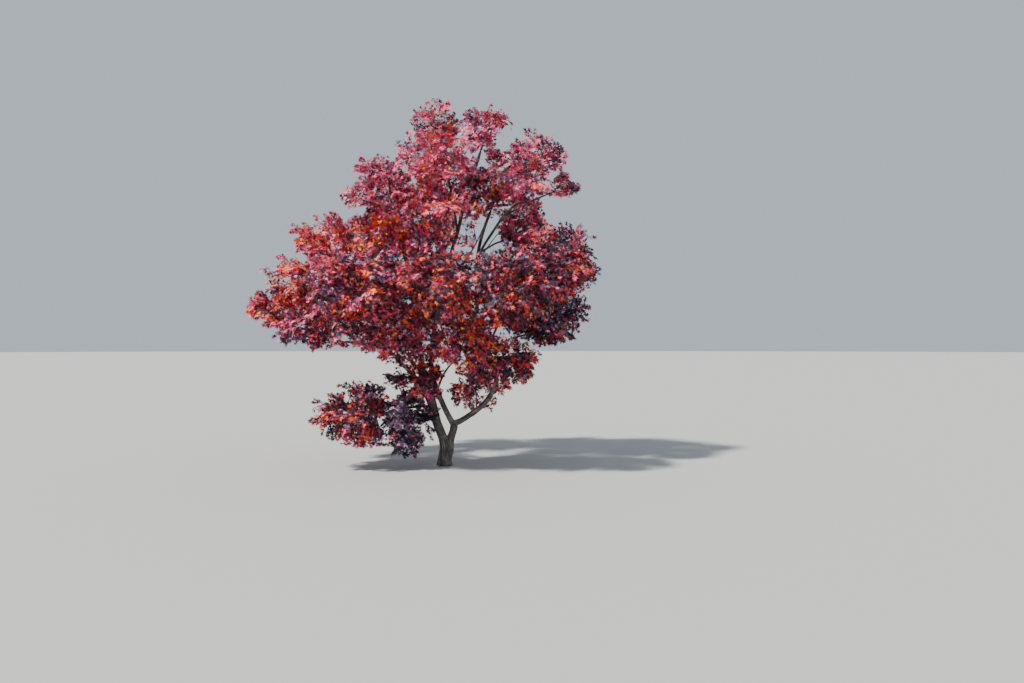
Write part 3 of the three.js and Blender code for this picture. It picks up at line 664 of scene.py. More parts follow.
# %% [markdown]
# ## Fine twigs
# On the real tree the masses are filled by finer twigs that fork off the main ones and end near the
# surface of the crown. Space is filled evenly by first choosing where the fine twigs should end, in tiers
# as on this tree, and then letting each grow from the nearest place on a main twig that already heads its
# way.

# %% Where the fine twigs end
FINE_SEED = 100
FINE_PER_SQUARE_METRE = 16.0
FINE_REACH = (0.36, 1.04)
FINE_SPREAD = 0.6
FINE_JITTER = 0.12
FINE_SPARE = 0.03
AREA_POWER = 1.6
TIER_STEP = 0.21
TIER_DROOP = 0.1
TIER_PULL = 0.6


def egg_area(sizes):
    """The area of an egg shape, by the mean of the products of its half sizes, each to a power."""
    a, b, c = sizes**AREA_POWER
    return 4 * math.pi * ((a * b + a * c + b * c) / 3) ** (1 / AREA_POWER)


def to_tiers(points, phase):
    """Points moved most of the way to the nearest tier. Tiers sink a little away from the trunk."""
    level = points[:, 2] + TIER_DROOP * np.linalg.norm(points[:, :2], axis=1) + phase
    move = TIER_PULL * (np.round(level / TIER_STEP) * TIER_STEP - level)
    return points + move[:, None] * UP


def fine_targets(room, random):
    """Points near the room's surface, in even directions, moved to tiers and kept to room and crown."""
    count = int(FINE_PER_SQUARE_METRE * egg_area(room["sizes"]))
    reach = FINE_REACH[0] + (FINE_REACH[1] - FINE_REACH[0]) * random.random(count) ** FINE_SPREAD
    directions = even_directions(count, 2 * math.pi * random.random())
    directions = directions + random.normal(0, FINE_JITTER, (count, 3))
    targets = room["middle"] + (directions * room["sizes"] * reach[:, None]) @ room["axes"]
    targets = to_tiers(targets, TIER_STEP * random.random())
    return targets[in_room(room, targets, FINE_SPARE, FINE_REACH[1]) & in_crown(targets)]


top = rooms["top_right"]
print(round(egg_area(top["sizes"]), 2), "square metres round the top, for",
      len(fine_targets(top, np.random.default_rng(FINE_SEED))), "fine twigs")

# %% Fine twigs
NODE_SHARES = np.array([0.12, 0.25, 0.38, 0.5, 0.62, 0.74, 0.86, 0.96])
TURN_COST = 0.8
FINE_LEAD = 0.38
FINE_SAG = 0.03
FINE_LEVEL = 0.75
FINE_OUTWARD = 0.6
FINE_ROOT_SHARE = 0.6
FINE_TIP_RADIUS = 0.0016


def fine_twigs(room, shoots, random):
    """The same stacks for fine twigs, each from the node with the least distance (1 + cost (1 - ahead))."""
    targets = fine_targets(room, random)
    curves = shoots["curves"][:, None]
    root_radii, tip_radii = shoots["root_radii"][:, None], shoots["tip_radii"][:, None]
    nodes = on_curve(curves, NODE_SHARES).reshape(-1, 3)
    headings = heading_on(curves, NODE_SHARES).reshape(-1, 3)
    node_radii = (root_radii + (tip_radii - root_radii) * NODE_SHARES).ravel()
    offset = targets[:, None] - nodes
    distance = np.linalg.norm(offset, axis=-1)
    ahead = (unit(offset) * headings).sum(-1)
    best = (distance * (1 + TURN_COST * (1 - ahead))).argmin(1)
    root = nodes[best]
    gap = np.linalg.norm(targets - root, axis=1)[:, None]
    middle = root + FINE_LEAD * gap * unit(headings[best] + unit(targets - root))
    curves = np.stack([root, middle, targets - FINE_SAG * gap * UP], 1)
    sides = side_of(room, curves, random.random((len(curves), 3)), FINE_LEVEL, FINE_OUTWARD)
    tip_radii = np.full(len(curves), FINE_TIP_RADIUS)
    return dict(zip(SHOOT_KEYS, (curves, FINE_ROOT_SHARE * node_radii[best], tip_radii, sides)))


twigs = {}
for number, (mass, shoots) in enumerate(main.items()):
    fine = fine_twigs(rooms[mass], shoots, np.random.default_rng(FINE_SEED + number))
    twigs[mass] = {key: np.concatenate([shoots[key], fine[key]]) for key in SHOOT_KEYS}
print(sum(len(group["curves"]) for group in twigs.values()), "twigs with the fine ones")

# %% [markdown]
# ## Sprays
# A maple's twigs and leaves stand in pairs, one on each side, and lie in flat tiers that droop a little at
# their ends. So every twig gets a spray at its tip and pairs of sprays along it, each a short twiglet in
# the same plane.

# %% Twiglets that carry the leaves
SPRAY_SEED = 200
SPRAY_SHARES = np.array([0.3, 0.3, 0.5, 0.5, 0.7, 0.7, 0.88, 0.88, 1.0])
SPRAY_HANDS = np.array([-1, 1, -1, 1, -1, 1, -1, 1, 0])
SPRAY_ANGLE = 52
SPRAY_CLOSING = 14
SPRAY_TURN = 10
SPRAY_TILT = 0.22
SPRAY_LENGTH = 0.155
SPRAY_VARIES = (0.75, 1.2)
LONGEST = 1.15
LONGEST_AT = 0.45
LENGTH_LOSS = 0.7
SPRAY_DROOP = 0.16
SPRAY_SLACK = 0.03
RIM_LOSS = 0.8


def sprays_of(room, group, full, random):
    """Stacks of spray roots, headings, faces, lengths and twigs. Thin places and the rim lose most."""
    curves = group["curves"][:, None]
    count = (len(group["curves"]), len(SPRAY_SHARES))
    root = on_curve(curves, SPRAY_SHARES)
    heading = heading_on(curves, SPRAY_SHARES)
    side = group["sides"][:, None]
    across = unit(side - (side * heading).sum(-1, keepdims=True) * heading)
    face = np.cross(across, heading)
    angle = SPRAY_ANGLE - SPRAY_CLOSING * SPRAY_SHARES + random.normal(0, SPRAY_TURN, count)
    angle = np.radians(angle) * (SPRAY_HANDS != 0)
    tilt = random.normal(0, SPRAY_TILT, count)[..., None]
    out = np.cos(angle)[..., None] * heading + (SPRAY_HANDS * np.sin(angle))[..., None] * across
    out = unit(out + tilt * face)
    face = unit(face - (face * out).sum(-1, keepdims=True) * out)
    length = SPRAY_LENGTH * (LONGEST - LENGTH_LOSS * np.abs(SPRAY_SHARES - LONGEST_AT))
    length = (length * random.uniform(*SPRAY_VARIES, count)).ravel()
    root, out, face = (part.reshape(-1, 3) for part in (root, out, face))
    twig = np.repeat(np.arange(count[0]), count[1])
    end = root + out * length[:, None]
    fits = in_room(room, end, -SPRAY_SLACK, FINE_REACH[1]) & in_crown(end) & ~in_windows(end, random)
    root, out, face, length, twig, end = (part[fits] for part in (root, out, face, length, twig, end))
    thick = slow_noise(end, thin_waves) - RIM_LOSS * egg_share(room, end - room["middle"]) ** 3
    keep = thick >= np.quantile(thick, 1 - full)
    kept = (part[keep] for part in (root, out, face, length, twig))
    return dict(zip(("root", "heading", "face", "length", "twig"), kept))


sprays = {}
for number, bough in enumerate(BOUGHS):
    random = np.random.default_rng(SPRAY_SEED + number)
    sprays[bough.mass] = sprays_of(rooms[bough.mass], twigs[bough.mass], bough.full, random)
print(sum(len(group["length"]) for group in sprays.values()), "sprays")

# %% [markdown]
# ## Leaves
# A leaf of this maple is a hand of five pointed lobes on a thin stalk. A flat picture of one would be
# quick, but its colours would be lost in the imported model, so each leaf is a fan of eight triangles in its
# own outline, with its tips bent down, and one more for the stalk.

# %% One leaf
LOBE_ANGLES = np.array([-100, -50, 0, 50, 100])
LOBE_LENGTHS = np.array([0.58, 0.88, 1.0, 0.88, 0.58])
NOTCH_ANGLES = np.array([-75, -25, 25, 75])
NOTCH_LENGTHS = np.array([0.34, 0.4, 0.4, 0.34])
TIP_BEND = 0.16
STALK = 0.38
STALK_RISE = 0.02
STALK_OVERLAP = 0.06
STALK_HALF_WIDTH = 0.03


def leaf_template():
    """Corners of a leaf of length 1 along x, and its triangles: a fan round the place the lobes meet."""
    angle = np.zeros(len(LOBE_ANGLES) + len(NOTCH_ANGLES))
    length = 0 * angle
    angle[0::2], angle[1::2] = LOBE_ANGLES, NOTCH_ANGLES
    length[0::2], length[1::2] = LOBE_LENGTHS, NOTCH_LENGTHS
    turn = np.radians(angle)
    rim = np.stack([length * np.cos(turn), length * np.sin(turn), -TIP_BEND * length**2], -1)
    corners = np.concatenate([[[0, 0, 0], [-STALK, 0, STALK_RISE]], rim])
    corners[:, 0] += STALK
    stalk_end = [[STALK + STALK_OVERLAP, side * STALK_HALF_WIDTH, 0] for side in (-1, 1)]
    fan = [(0, 2 + i, 3 + i) for i in range(len(rim) - 1)]
    stalk = (1, len(corners), len(corners) + 1)
    return np.concatenate([corners, stalk_end]), np.array([*fan, stalk])


leaf_corners, leaf_faces = leaf_template()
print(len(leaf_corners), "corners and", len(leaf_faces), "triangles a leaf")

# %% [markdown]
# The leaves stand in pairs on each twiglet, turn outwards, and hang by a different amount each. A leaf
# that would leave its room or touch a limb is left out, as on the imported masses.

# %% All leaves
LEAF_SEED = 300
LEAF_SHARES = np.array([0.3, 0.3, 0.55, 0.55, 0.78, 0.78, 0.95, 0.95, 1.0])
LEAF_HANDS = np.array([-1, 1, -1, 1, -1, 1, -1, 1, 0])
LEAF_ANGLE = 78
LEAF_CLOSING = 38
LEAF_SWING = 14
LEAF_SIZE = (0.035, 0.054)
LEAF_HANG = (0.1, 0.75)
LEAF_TURN = 0.5
LEAF_SPARE = 0.012
LEAF_SLACK = 0.05
LEAF_EGG = 1.1
BLADE_MIDDLE = 0.35


def leaves_of(room, group, random):
    """Stacks of leaf frames: origin, direction and normal, with size and the spray that each is on."""
    count = (len(group["length"]), len(LEAF_SHARES))
    heading, face = group["heading"][:, None], group["face"][:, None]
    across = np.cross(heading, face)
    length = group["length"][:, None, None]
    origin = group["root"][:, None] + length * LEAF_SHARES[:, None] * (heading - SPRAY_DROOP * UP)
    angle = (LEAF_ANGLE - LEAF_CLOSING * LEAF_SHARES) * LEAF_HANDS + random.normal(0, LEAF_SWING, count)
    angle = np.radians(angle)[..., None]
    direction = np.cos(angle) * heading + np.sin(angle) * across
    direction = unit(direction - random.uniform(*LEAF_HANG, count)[..., None] * UP)
    normal = face + random.normal(0, LEAF_TURN, (*count, 3))
    normal = unit(normal - (normal * direction).sum(-1, keepdims=True) * direction)
    size = random.uniform(*LEAF_SIZE, count).ravel()
    spray = np.repeat(np.arange(count[0]), count[1])
    origin, direction, normal = (part.reshape(-1, 3) for part in (origin, direction, normal))
    far = origin + direction * (size * (1 + STALK))[:, None]
    middle = origin + direction * (size * (BLADE_MIDDLE + STALK))[:, None]
    keep = in_room(room, far, -LEAF_SLACK, LEAF_EGG) & in_crown(far) & points_clear(middle, LEAF_SPARE)
    keep &= ~in_windows(middle, random)
    return {"origin": origin[keep], "direction": direction[keep], "normal": normal[keep],
            "size": size[keep], "spray": spray[keep]}


leaves = {}
for number, (mass, group) in enumerate(sprays.items()):
    leaves[mass] = leaves_of(rooms[mass], group, np.random.default_rng(LEAF_SEED + number))
leaf_count = sum(len(leaf["size"]) for leaf in leaves.values())
print(leaf_count, "leaves,", leaf_count * len(leaf_faces), "triangles")

# %% [markdown]
# ## Autumn tints
# In autumn the top of the tree is a cooler crimson than its skirts, which tend to scarlet and orange.
# Sun and shade are painted into the leaves too: each row of tints runs from almost black painted shade
# to bright painted sunlight, plum to rose red in the cool row and umber to orange in the warm one. Each
# tint is a plain colour of its own. A leaf draws one by how much painted light and how much orange the
# crown has at its place, by a slow noise that mottles the painted light, and by chance, and some leaves
# of cool sprays get a painted sheen instead, a mauve reflection as where a glossy leaf catches light.

# %% Leaf colours
# Each row runs from painted shade, its darkest tint, to painted sunlight, its brightest.
COOL_TINTS_BY_PAINTED_LIGHT = [
    ("plum_shade", (0.032, 0.028, 0.052)),
    ("wine", (0.125, 0.042, 0.088)),
    ("crimson", (0.460, 0.042, 0.120)),
    ("rose_red", (0.950, 0.076, 0.180)),
]
WARM_TINTS_BY_PAINTED_LIGHT = [
    ("umber_shade", (0.032, 0.026, 0.042)),
    ("garnet", (0.155, 0.036, 0.058)),
    ("scarlet", (0.840, 0.040, 0.048)),
    ("vermilion", (1.000, 0.105, 0.044)),
    ("orange", (0.980, 0.240, 0.036)),
]
# Painted sheen: mauve reflections of the sky on glossy leaves, one dusky and one pale.
PAINTED_SHEEN_TINTS = [
    ("dusky_painted_sheen", (0.125, 0.080, 0.145)),
    ("pale_painted_sheen", (0.480, 0.320, 0.440)),
]
LEAF_ROUGHNESS = 0.55
LEAF_SHINE = 0.2


def plain_material(name, colour, roughness, shine=0.5):
    """A Principled surface with its colour set on the shader's own socket."""
    material = bpy.data.materials.new(name)
    material.use_nodes = True
    shader = material.node_tree.nodes["Principled BSDF"]
    shader.inputs["Base Color"].default_value = (*colour, 1)
    shader.inputs["Roughness"].default_value = roughness
    shader.inputs["Specular IOR Level"].default_value = shine
    return material


leaf_materials = [plain_material("leaf_" + name, colour, LEAF_ROUGHNESS, LEAF_SHINE)
                  for name, colour in COOL_TINTS_BY_PAINTED_LIGHT + WARM_TINTS_BY_PAINTED_LIGHT + PAINTED_SHEEN_TINTS]
print(len(leaf_materials), "tints")

# %% Deal the tints out by spray
TINT_SEED = 400
SPRAY_CHANCE = 0.12
LEAF_CHANCE = 0.36
PAINTED_SHEEN_CHANCE = 0.34
PAINTED_SHEEN_STEP = 0.6
MOTTLE = 0.15
WARMTH = 0.14
TONE_REACH = 3.0
# Levels of painted light at which a leaf steps up to the next, brighter tint.
PAINTED_LIGHT_STEPS = np.array([0.30, 0.47, 0.65, 0.88])


def tones_at(points):
    """Painted light and warmth at points: the masses' own, weighed by exp(-reach share^2) of each room."""
    tones = np.array([(bough.bright, bough.warm) for bough in BOUGHS])
    shares = np.stack([egg_share(room, points - room["middle"]) for room in rooms.values()], -1)
    weights = np.exp(-TONE_REACH * shares**2) + 1e-9
    return (weights @ tones / weights.sum(-1, keepdims=True)).T


def tints_of(group, leaf, random):
    """A tint for each leaf: its spray's painted light and warmth by place, slow noise and chance."""
    sprays_here = len(group["length"])
    bright, warm = tones_at(group["root"])
    bright = bright + MOTTLE * slow_noise(group["root"], mottle_waves)
    bright = bright + random.normal(0, SPRAY_CHANCE, sprays_here)
    warm = warm + WARMTH * slow_noise(group["root"], warmth_waves)
    value = bright[leaf["spray"]] + random.normal(0, LEAF_CHANCE, len(leaf["size"]))
    step = np.searchsorted(PAINTED_LIGHT_STEPS, value)
    is_warm = (random.random(sprays_here) < warm)[leaf["spray"]]
    tint = np.where(is_warm, len(COOL_TINTS_BY_PAINTED_LIGHT) + step, np.minimum(step, len(COOL_TINTS_BY_PAINTED_LIGHT) - 1))
    # A leaf with a painted sheen takes the pale one where its painted light is high.
    is_pale = value + random.normal(0, LEAF_CHANCE, len(step)) > PAINTED_SHEEN_STEP
    has_painted_sheen = random.random(len(step)) < (PAINTED_SHEEN_CHANCE * (1 - warm))[leaf["spray"]]
    return np.where(has_painted_sheen, len(COOL_TINTS_BY_PAINTED_LIGHT) + len(WARM_TINTS_BY_PAINTED_LIGHT) + is_pale, tint)


for number, (mass, leaf) in enumerate(leaves.items()):
    leaf["tint"] = tints_of(sprays[mass], leaf, np.random.default_rng(TINT_SEED + number))
dealt = np.bincount(np.concatenate([leaf["tint"] for leaf in leaves.values()]), minlength=len(leaf_materials))
print("share of each tint", [round(float(share), 3) for share in dealt / leaf_count])

# %% [markdown]
# ## From arrays to meshes
# One helper puts corners and faces into a mesh with a few calls, however many there are. A loop over
# single corners would take minutes for this many.

# %% Meshes
def put_mesh(name, corners, face_groups, materials, tints=None, smooth=False):
    """A mesh object from an array of corners and arrays of faces, each array with faces of one size."""
    mesh = bpy.data.meshes.new(name)
    loops = np.concatenate([faces.ravel() for faces in face_groups]).astype(np.int32)
    totals = np.concatenate([np.full(len(faces), faces.shape[1]) for faces in face_groups])
    starts = np.concatenate([[0], np.cumsum(totals)[:-1]]).astype(np.int32)
    mesh.vertices.add(len(corners))
    mesh.vertices.foreach_set("co", corners.astype(np.float32).ravel())
    mesh.loops.add(len(loops))
    mesh.loops.foreach_set("vertex_index", loops)
    mesh.polygons.add(len(starts))
    mesh.polygons.foreach_set("loop_start", starts)
    for material in materials:
        mesh.materials.append(material)
    if tints is not None:
        mesh.polygons.foreach_set("material_index", tints.astype(np.int32))
    mesh.update(calc_edges=True)
    mesh.validate()
    if smooth:
        mesh.shade_smooth()
    else:
        mesh.shade_flat()
    piece = bpy.data.objects.new(name, mesh)
    bpy.context.scene.collection.objects.link(piece)
    print(name, len(corners), "corners,", int((totals - 2).sum()), "triangles")
    return piece


print(len(bpy.data.meshes), "meshes before the leaves")

# %% Leaves of each part of the crown
REGIONS = {
    "top": ["upper_right", "top_right", "top_left", "upper_centre", "right_upper", "right_twig", "right_mid"],
    "left": ["left_upper", "left_shoulder", "left_mid", "far_left", "left_low"],
    "middle": ["mid_centre", "left_centre", "centre_front", "low_front", "low_middle"],
    "right": ["right_shoulder", "right_low", "right_front", "right_bottom", "right_inner"],
    "low": ["low_left", "low_inner", "fork", "left_front"],
    "back": ["centre_back", "right_back", "left_back", "upper_back"],
}


def leaf_mesh(leaf):
    """Corners and faces of a stack of leaves: each template corner times the leaf's own three axes."""
    width = np.cross(leaf["normal"], leaf["direction"])
    axes = np.stack([leaf["direction"], width, leaf["normal"]], 1) * leaf["size"][:, None, None]
    corners = leaf["origin"][:, None] + leaf_corners @ axes
    first = np.arange(len(corners))[:, None, None] * len(leaf_corners)
    faces = (leaf_faces + first).reshape(-1, 3)
    return corners.reshape(-1, 3), faces, np.repeat(leaf["tint"], len(leaf_faces))


for region, masses in REGIONS.items():
    together = {key: np.concatenate([leaves[mass][key] for mass in masses]) for key in leaves[masses[0]]}
    corners, faces, tints = leaf_mesh(together)
    piece = put_mesh("leaves_" + region, corners, [faces], leaf_materials, tints)
    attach(piece, "root")
    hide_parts(*["foliage_" + mass for mass in masses])

# %% [markdown]
# ## Twigs
# Young bark is a dull red-brown with paler flecks. A noise on the object's own coordinates gives the
# flecks, and keeps its place on the bark when the tree is moved. Two short helpers make such a noise and
# read colours off it, and the old bark uses them too.

# %% Young bark
TWIG_COLOUR = (0.1, 0.06, 0.055)
TWIG_ROUGHNESS = 0.7
FLECK_NOISE = (24, 4, 0.5)
FLECK_COLOURS = [(0.35, (0.045, 0.022, 0.022)), (0.7, (0.19, 0.13, 0.115))]


def noise_of(tree, vector, scale, detail, roughness):
    """A noise from 0 to 1 of a vector."""
    noise = tree.nodes.new("ShaderNodeTexNoise")
    noise.inputs["Scale"].default_value = scale
    noise.inputs["Detail"].default_value = detail
    noise.inputs["Roughness"].default_value = roughness
    tree.links.new(vector, noise.inputs["Vector"])
    return noise.outputs["Fac"]


def ramp_of(tree, value, stops):
    """A colour ramp of a value, with a stop for each (value, colour)."""
    ramp = tree.nodes.new("ShaderNodeValToRGB")
    elements = ramp.color_ramp.elements
    for _ in stops[2:]:
        elements.new(0.5)
    for element, (position, colour) in zip(elements, stops):
        element.position = position
        element.color = (*colour, 1)
    tree.links.new(value, ramp.inputs["Fac"])
    return ramp.outputs["Color"]


twig_material = plain_material("twig_bark", TWIG_COLOUR, TWIG_ROUGHNESS)
tree = twig_material.node_tree
flecks = noise_of(tree, tree.nodes.new("ShaderNodeTexCoord").outputs["Object"], *FLECK_NOISE)
young_bark = ramp_of(tree, flecks, FLECK_COLOURS)
tree.links.new(young_bark, tree.nodes["Principled BSDF"].inputs["Base Color"])
print(len(tree.nodes), "nodes in", twig_material.name)

# %% [markdown]
# A twig is a tube, which is a ring carried along a curve. All twigs of a mass are made at once: the rings
# of every curve form one block of numbers, and each end is closed by a face of its own.

# %% Tubes
UPRIGHT_TWIG = 0.9


def rings_round(centre, across, third, radius, sides):
    """Rings of corners: centre + radius (across cos + third sin), with one or many radii a ring."""
    turn = (2 * math.pi * np.arange(sides) / sides)[:, None]
    ring = np.cos(turn) * across[..., None, :] + np.sin(turn) * third[..., None, :]
    return centre[..., None, :] + radius[..., None] * ring


def side_quads(number):
    """The quads between each ring of corner numbers and the next."""
    low, high = number[..., :-1, :], number[..., 1:, :]
    return np.stack([low, np.roll(low, -1, -1), np.roll(high, -1, -1), high], -1).reshape(-1, 4)


def thin_tubes(curves, root_radii, tip_radii, rings, sides):
    """Corners, quads and caps of tubes round a stack of curves, on evenly spaced rings."""
    share = np.linspace(0, 1, rings)
    heading = heading_on(curves[:, None], share)
    chord = unit(curves[:, 2] - curves[:, 0])
    steady = np.where(np.abs(chord[:, 2:]) > UPRIGHT_TWIG, SIDEWAYS, UP)
    across = unit(np.cross(steady[:, None], heading))
    radius = root_radii[:, None] + (tip_radii - root_radii)[:, None] * share
    corners = rings_round(on_curve(curves[:, None], share), across, np.cross(heading, across),
                          radius[..., None], sides)
    number = np.arange(len(curves) * rings * sides).reshape(len(curves), rings, sides)
    caps = np.concatenate([number[:, 0, ::-1], number[:, -1]])
    return corners.reshape(-1, 3), side_quads(number), caps


def joined(sets):
    """Several (corners, faces, faces) sets as one, with the corner numbers moved on."""
    first = np.cumsum([0] + [len(part[0]) for part in sets[:-1]])
    corners = np.concatenate([part[0] for part in sets])
    faces = [np.concatenate([part[kind] + start for part, start in zip(sets, first)]) for kind in (1, 2)]
    return corners, faces


print("two rings of four corners have", len(side_quads(np.arange(8).reshape(2, 4))), "quads between them")

# %% Twigs and twiglets
TWIG_SIDES = 4
TWIG_RINGS = 6
TWIGLET_SIDES = 3
TWIGLET_RINGS = 2
TWIGLET_RADIUS = (0.0016, 0.0008)
LEAST_SPRAYS = 1


def twiglet_curves(group):
    """The line of each spray's twiglet, which droops a little: its root, its middle and its tip."""
    reach = (group["heading"] - SPRAY_DROOP * UP) * group["length"][:, None]
    return np.stack([group["root"], group["root"] + reach / 2, group["root"] + reach], 1)


def leafy_twigs(mass):
    """Tubes of the twigs of a mass that carry a spray, and of its main ones."""
    group = twigs[mass]
    leafy = np.bincount(sprays[mass]["twig"], minlength=len(group["curves"])) >= LEAST_SPRAYS
    leafy[:len(main[mass]["curves"])] = True
    curves, root_radii, tip_radii = (group[key][leafy] for key in SHOOT_KEYS[:3])
    return thin_tubes(curves, root_radii, tip_radii, TWIG_RINGS, TWIG_SIDES)


def twiglets(group):
    """Tubes of the twiglets of a mass, all of the same two radii."""
    curves = twiglet_curves(group)
    root_radii, tip_radii = (np.full(len(curves), radius) for radius in TWIGLET_RADIUS)
    return thin_tubes(curves, root_radii, tip_radii, TWIGLET_RINGS, TWIGLET_SIDES)


for name, sets in (("twigs", [leafy_twigs(mass) for mass in twigs]),
                   ("twiglets", [twiglets(group) for group in sprays.values()])):
    corners, faces = joined(sets)
    piece = put_mesh(name, corners, faces, [twig_material], smooth=True)
    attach(piece, "root")

# %% [markdown]
# ## Bark
# The bark of this maple is thin and smooth, but the wood under it is sinewy: long flutes run up the
# trunk and twist a little, old leaf scars ring the boughs, and knots stand where twigs were shed. A bump
# map would give none of that at the edges, so the relief is in the mesh: the radius of each limb is
# changed by a sum of slow waves round it and along it.

# %% Relief of the bark
# Height, count of waves, least and most waves round the limb, and spread of their turn a metre.
RELIEF_WAVES = {
    "flutes": (0.055, 5, (2, 4), 2.4),
    "furrows": (0.012, 22, (6, 17), 9.0),
    "scars": (0.008, 10, (0, 1), 120.0),
}
KNOT_HEIGHT = 0.1
KNOTS_EACH = 3
KNOTS_A_METRE = 5
KNOT_PLACES = (0.12, 0.9)
KNOT_WIDTHS = (0.35, 0.7)
KNOT_FALL = 2.2


def random_waves(random, number, counts, pitches):
    """Waves of whole counts round the limb, so that they close, and of any pitch along it."""
    count = random.integers(counts[0], counts[1] + 1, number)
    pitch = random.normal(0, pitches, number)
    height = 1 / np.sqrt(number) * random.uniform(0.5, 1.5, number)
    return count, pitch, random.uniform(0, 2 * math.pi, number), height


def wave_sum(turn, along, waves):
    """A sum of waves: height times cos(count times turn + pitch times along + phase)."""
    count, pitch, phase, height = waves
    angle = turn[..., None] * count + along[..., None] * pitch + phase
    return (height * np.cos(angle)).sum(-1)


def knots_on(turn, along, length, radius, random):
    """Low round swellings, each the bell curve of the distance to its middle on the bark."""
    number = KNOTS_EACH + int(KNOTS_A_METRE * length)
    at = random.uniform(*KNOT_PLACES, number) * length
    facing = random.uniform(0, 2 * math.pi, number)
    width = random.uniform(*KNOT_WIDTHS, number)
    around = (turn[..., None] - facing + math.pi) % (2 * math.pi) - math.pi
    radius = radius[..., None]
    reach = np.hypot(around * radius, along[..., None] - at) / (width * radius)
    return np.exp(-KNOT_FALL * reach**2).sum(-1)


def relief_on(turn, along, length, radius, random):
    """1 + height times the sum of waves, of each kind in turn, + height times the knots."""
    relief = 1
    for height, *waves in RELIEF_WAVES.values():
        relief = relief + height * wave_sum(turn, along, random_waves(random, *waves))
    return relief + KNOT_HEIGHT * knots_on(turn, along, length, radius, random)


print(sum(number for _, number, *_ in RELIEF_WAVES.values()), "waves on each limb")

# %% [markdown]
# No real limb is as straight as its curve, so the centre line also wobbles a little from side to side, by
# less than the limb's own radius. Its far end closes in a dome, and its root in a flat fan that lies
# inside its parent. The trunk gets low ridges round its foot, where the roots begin.

# %% Centre lines
WOBBLE = 0.34
WOBBLE_POWER = 0.7
WOBBLE_TURNS = (5, 9)
UPRIGHT_LIMB = 0.94
END_DOME = 0.05
LEAST_DOME = 0.02


def wobbly_line(limb, share, random):
    """Points along a limb and its two axes across: the curve + wobble times radius times a slow sine."""
    curve, length = limb["curve"], max(1, limb["length"])
    centre, heading = on_curve(curve, share), heading_on(curve, share)
    chord = unit(curve[2] - curve[0])
    steady = unit(np.cross(chord, SIDEWAYS if abs(chord[2]) > UPRIGHT_LIMB else UP))
    across = unit(steady - (heading @ steady)[:, None] * heading)
    third = np.cross(heading, across)
    size = np.sin(math.pi * share) ** WOBBLE_POWER * limb_radius(limb, share) * WOBBLE
    swing = random.uniform(*WOBBLE_TURNS, 2)
    phase = random.uniform(0, 2 * math.pi, 2)
    for axis, turns, start in zip((across, third), swing, phase):
        centre = centre + (size * np.sin(turns * share * length + start))[:, None] * axis
    return centre, across, third


def end_dome(share):
    """1 along the limb, and over its last part the root of 1 - (1 - s)^2, a quarter of a circle."""
    from_end = np.clip((1 - share) / END_DOME, 0, 1)
    return np.maximum(np.sqrt(1 - (1 - from_end) ** 2), LEAST_DOME)


print("a limb's end is", round(float(end_dome(1 - END_DOME / 2)), 3), "of its width half a dome from its tip")

# %% Surfaces of the limbs
BARK_SEED = 500
RING_STEP = 0.011
LEAST_RINGS = 12
SIDE_STEP = 0.009
LEAST_SIDES = 14
MOST_SIDES = 56
WIDTH_SAMPLES = 20
ROOT_RIDGES = 5
RIDGE_DEPTH = 0.16
GRAIN_SHIFT = 40


def limb_surface(limb, seed):
    """Corners, faces and grain of one limb: a ring carried along its line, with the relief on its radius."""
    random = np.random.default_rng(seed)
    length = limb["length"]
    rings = max(LEAST_RINGS, int(length / RING_STEP))
    widest = float(np.max(limb_radius(limb, np.linspace(0, 1, WIDTH_SAMPLES))))
    sides = int(np.clip(2 * math.pi * widest / SIDE_STEP, LEAST_SIDES, MOST_SIDES))
    share = np.linspace(0, 1, rings)
    along, turn = np.meshgrid(share * length, 2 * math.pi * np.arange(sides) / sides, indexing="ij")
    centre, across, third = wobbly_line(limb, share, random)
    radius = np.repeat(limb_radius(limb, share)[:, None], sides, 1)
    relief = relief_on(turn, along, length, radius, random)
    if limb["name"] == "trunk":
        relief = relief + RIDGE_DEPTH * np.exp(-centre[:, 2:] / FLARE_HEIGHT) * np.cos(ROOT_RIDGES * turn)
    radius = radius * relief * end_dome(share)[:, None]
    corners = rings_round(centre, across, third, radius, sides).reshape(-1, 3)
    number = np.arange(rings * sides).reshape(rings, sides)
    first, last = number[0], number[-1]
    root_fan = np.stack([np.full(sides, rings * sides), np.roll(first, -1), first], -1)
    tip_fan = np.stack([np.full(sides, rings * sides + 1), last, np.roll(last, -1)], -1)
    grain = np.stack([np.cos(turn) * widest, np.sin(turn) * widest, along], -1).reshape(-1, 3)
    grain = np.concatenate([grain, grain[:1], grain[-1:]]) + random.uniform(0, GRAIN_SHIFT, 3)
    corners = np.concatenate([corners, centre[:1], centre[-1:]])
    return corners, side_quads(number), np.concatenate([root_fan, tip_fan]), grain


surfaces = {name: limb_surface(limb, BARK_SEED + i) for i, (name, limb) in enumerate(limbs.items())}
print(sum(len(surface[0]) for surface in surfaces.values()), "corners of bark")

# %% [markdown]
# A few bare twigs cross the gap right of the crown's middle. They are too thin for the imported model, so
# they are grown here by the rule of the boughs, each from a place on its parent to a tip of its own.

# %% Bare twigs in the gap
BARE_SEED = 700
BARE_TWIGS = [
    ("bare_bough", "leader", 0.25, -0.05, (13, 7), (26.8, -3, 66.8)),
    ("bare_fork", "bare_bough", 0.72, 0.02, (7, 4), (17, -3, 67.4)),
    ("bare_side", "leader", 0.62, 0.05, (8, 4), (23.5, -4, 69.5)),
    ("bare_riser", "right_riser", 0.66, 0.03, (10, 6), (34.5, 8, 64)),
]
bare_length = 0
for index, (name, *rest) in enumerate(BARE_TWIGS):
    limbs[name] = grow_limb(name, *rest)
    surfaces[name] = limb_surface(limbs[name], BARE_SEED + index)
    bare_length += limbs[name]["length"]
print(len(BARE_TWIGS), "bare twigs,", round(bare_length, 1), "metres long")
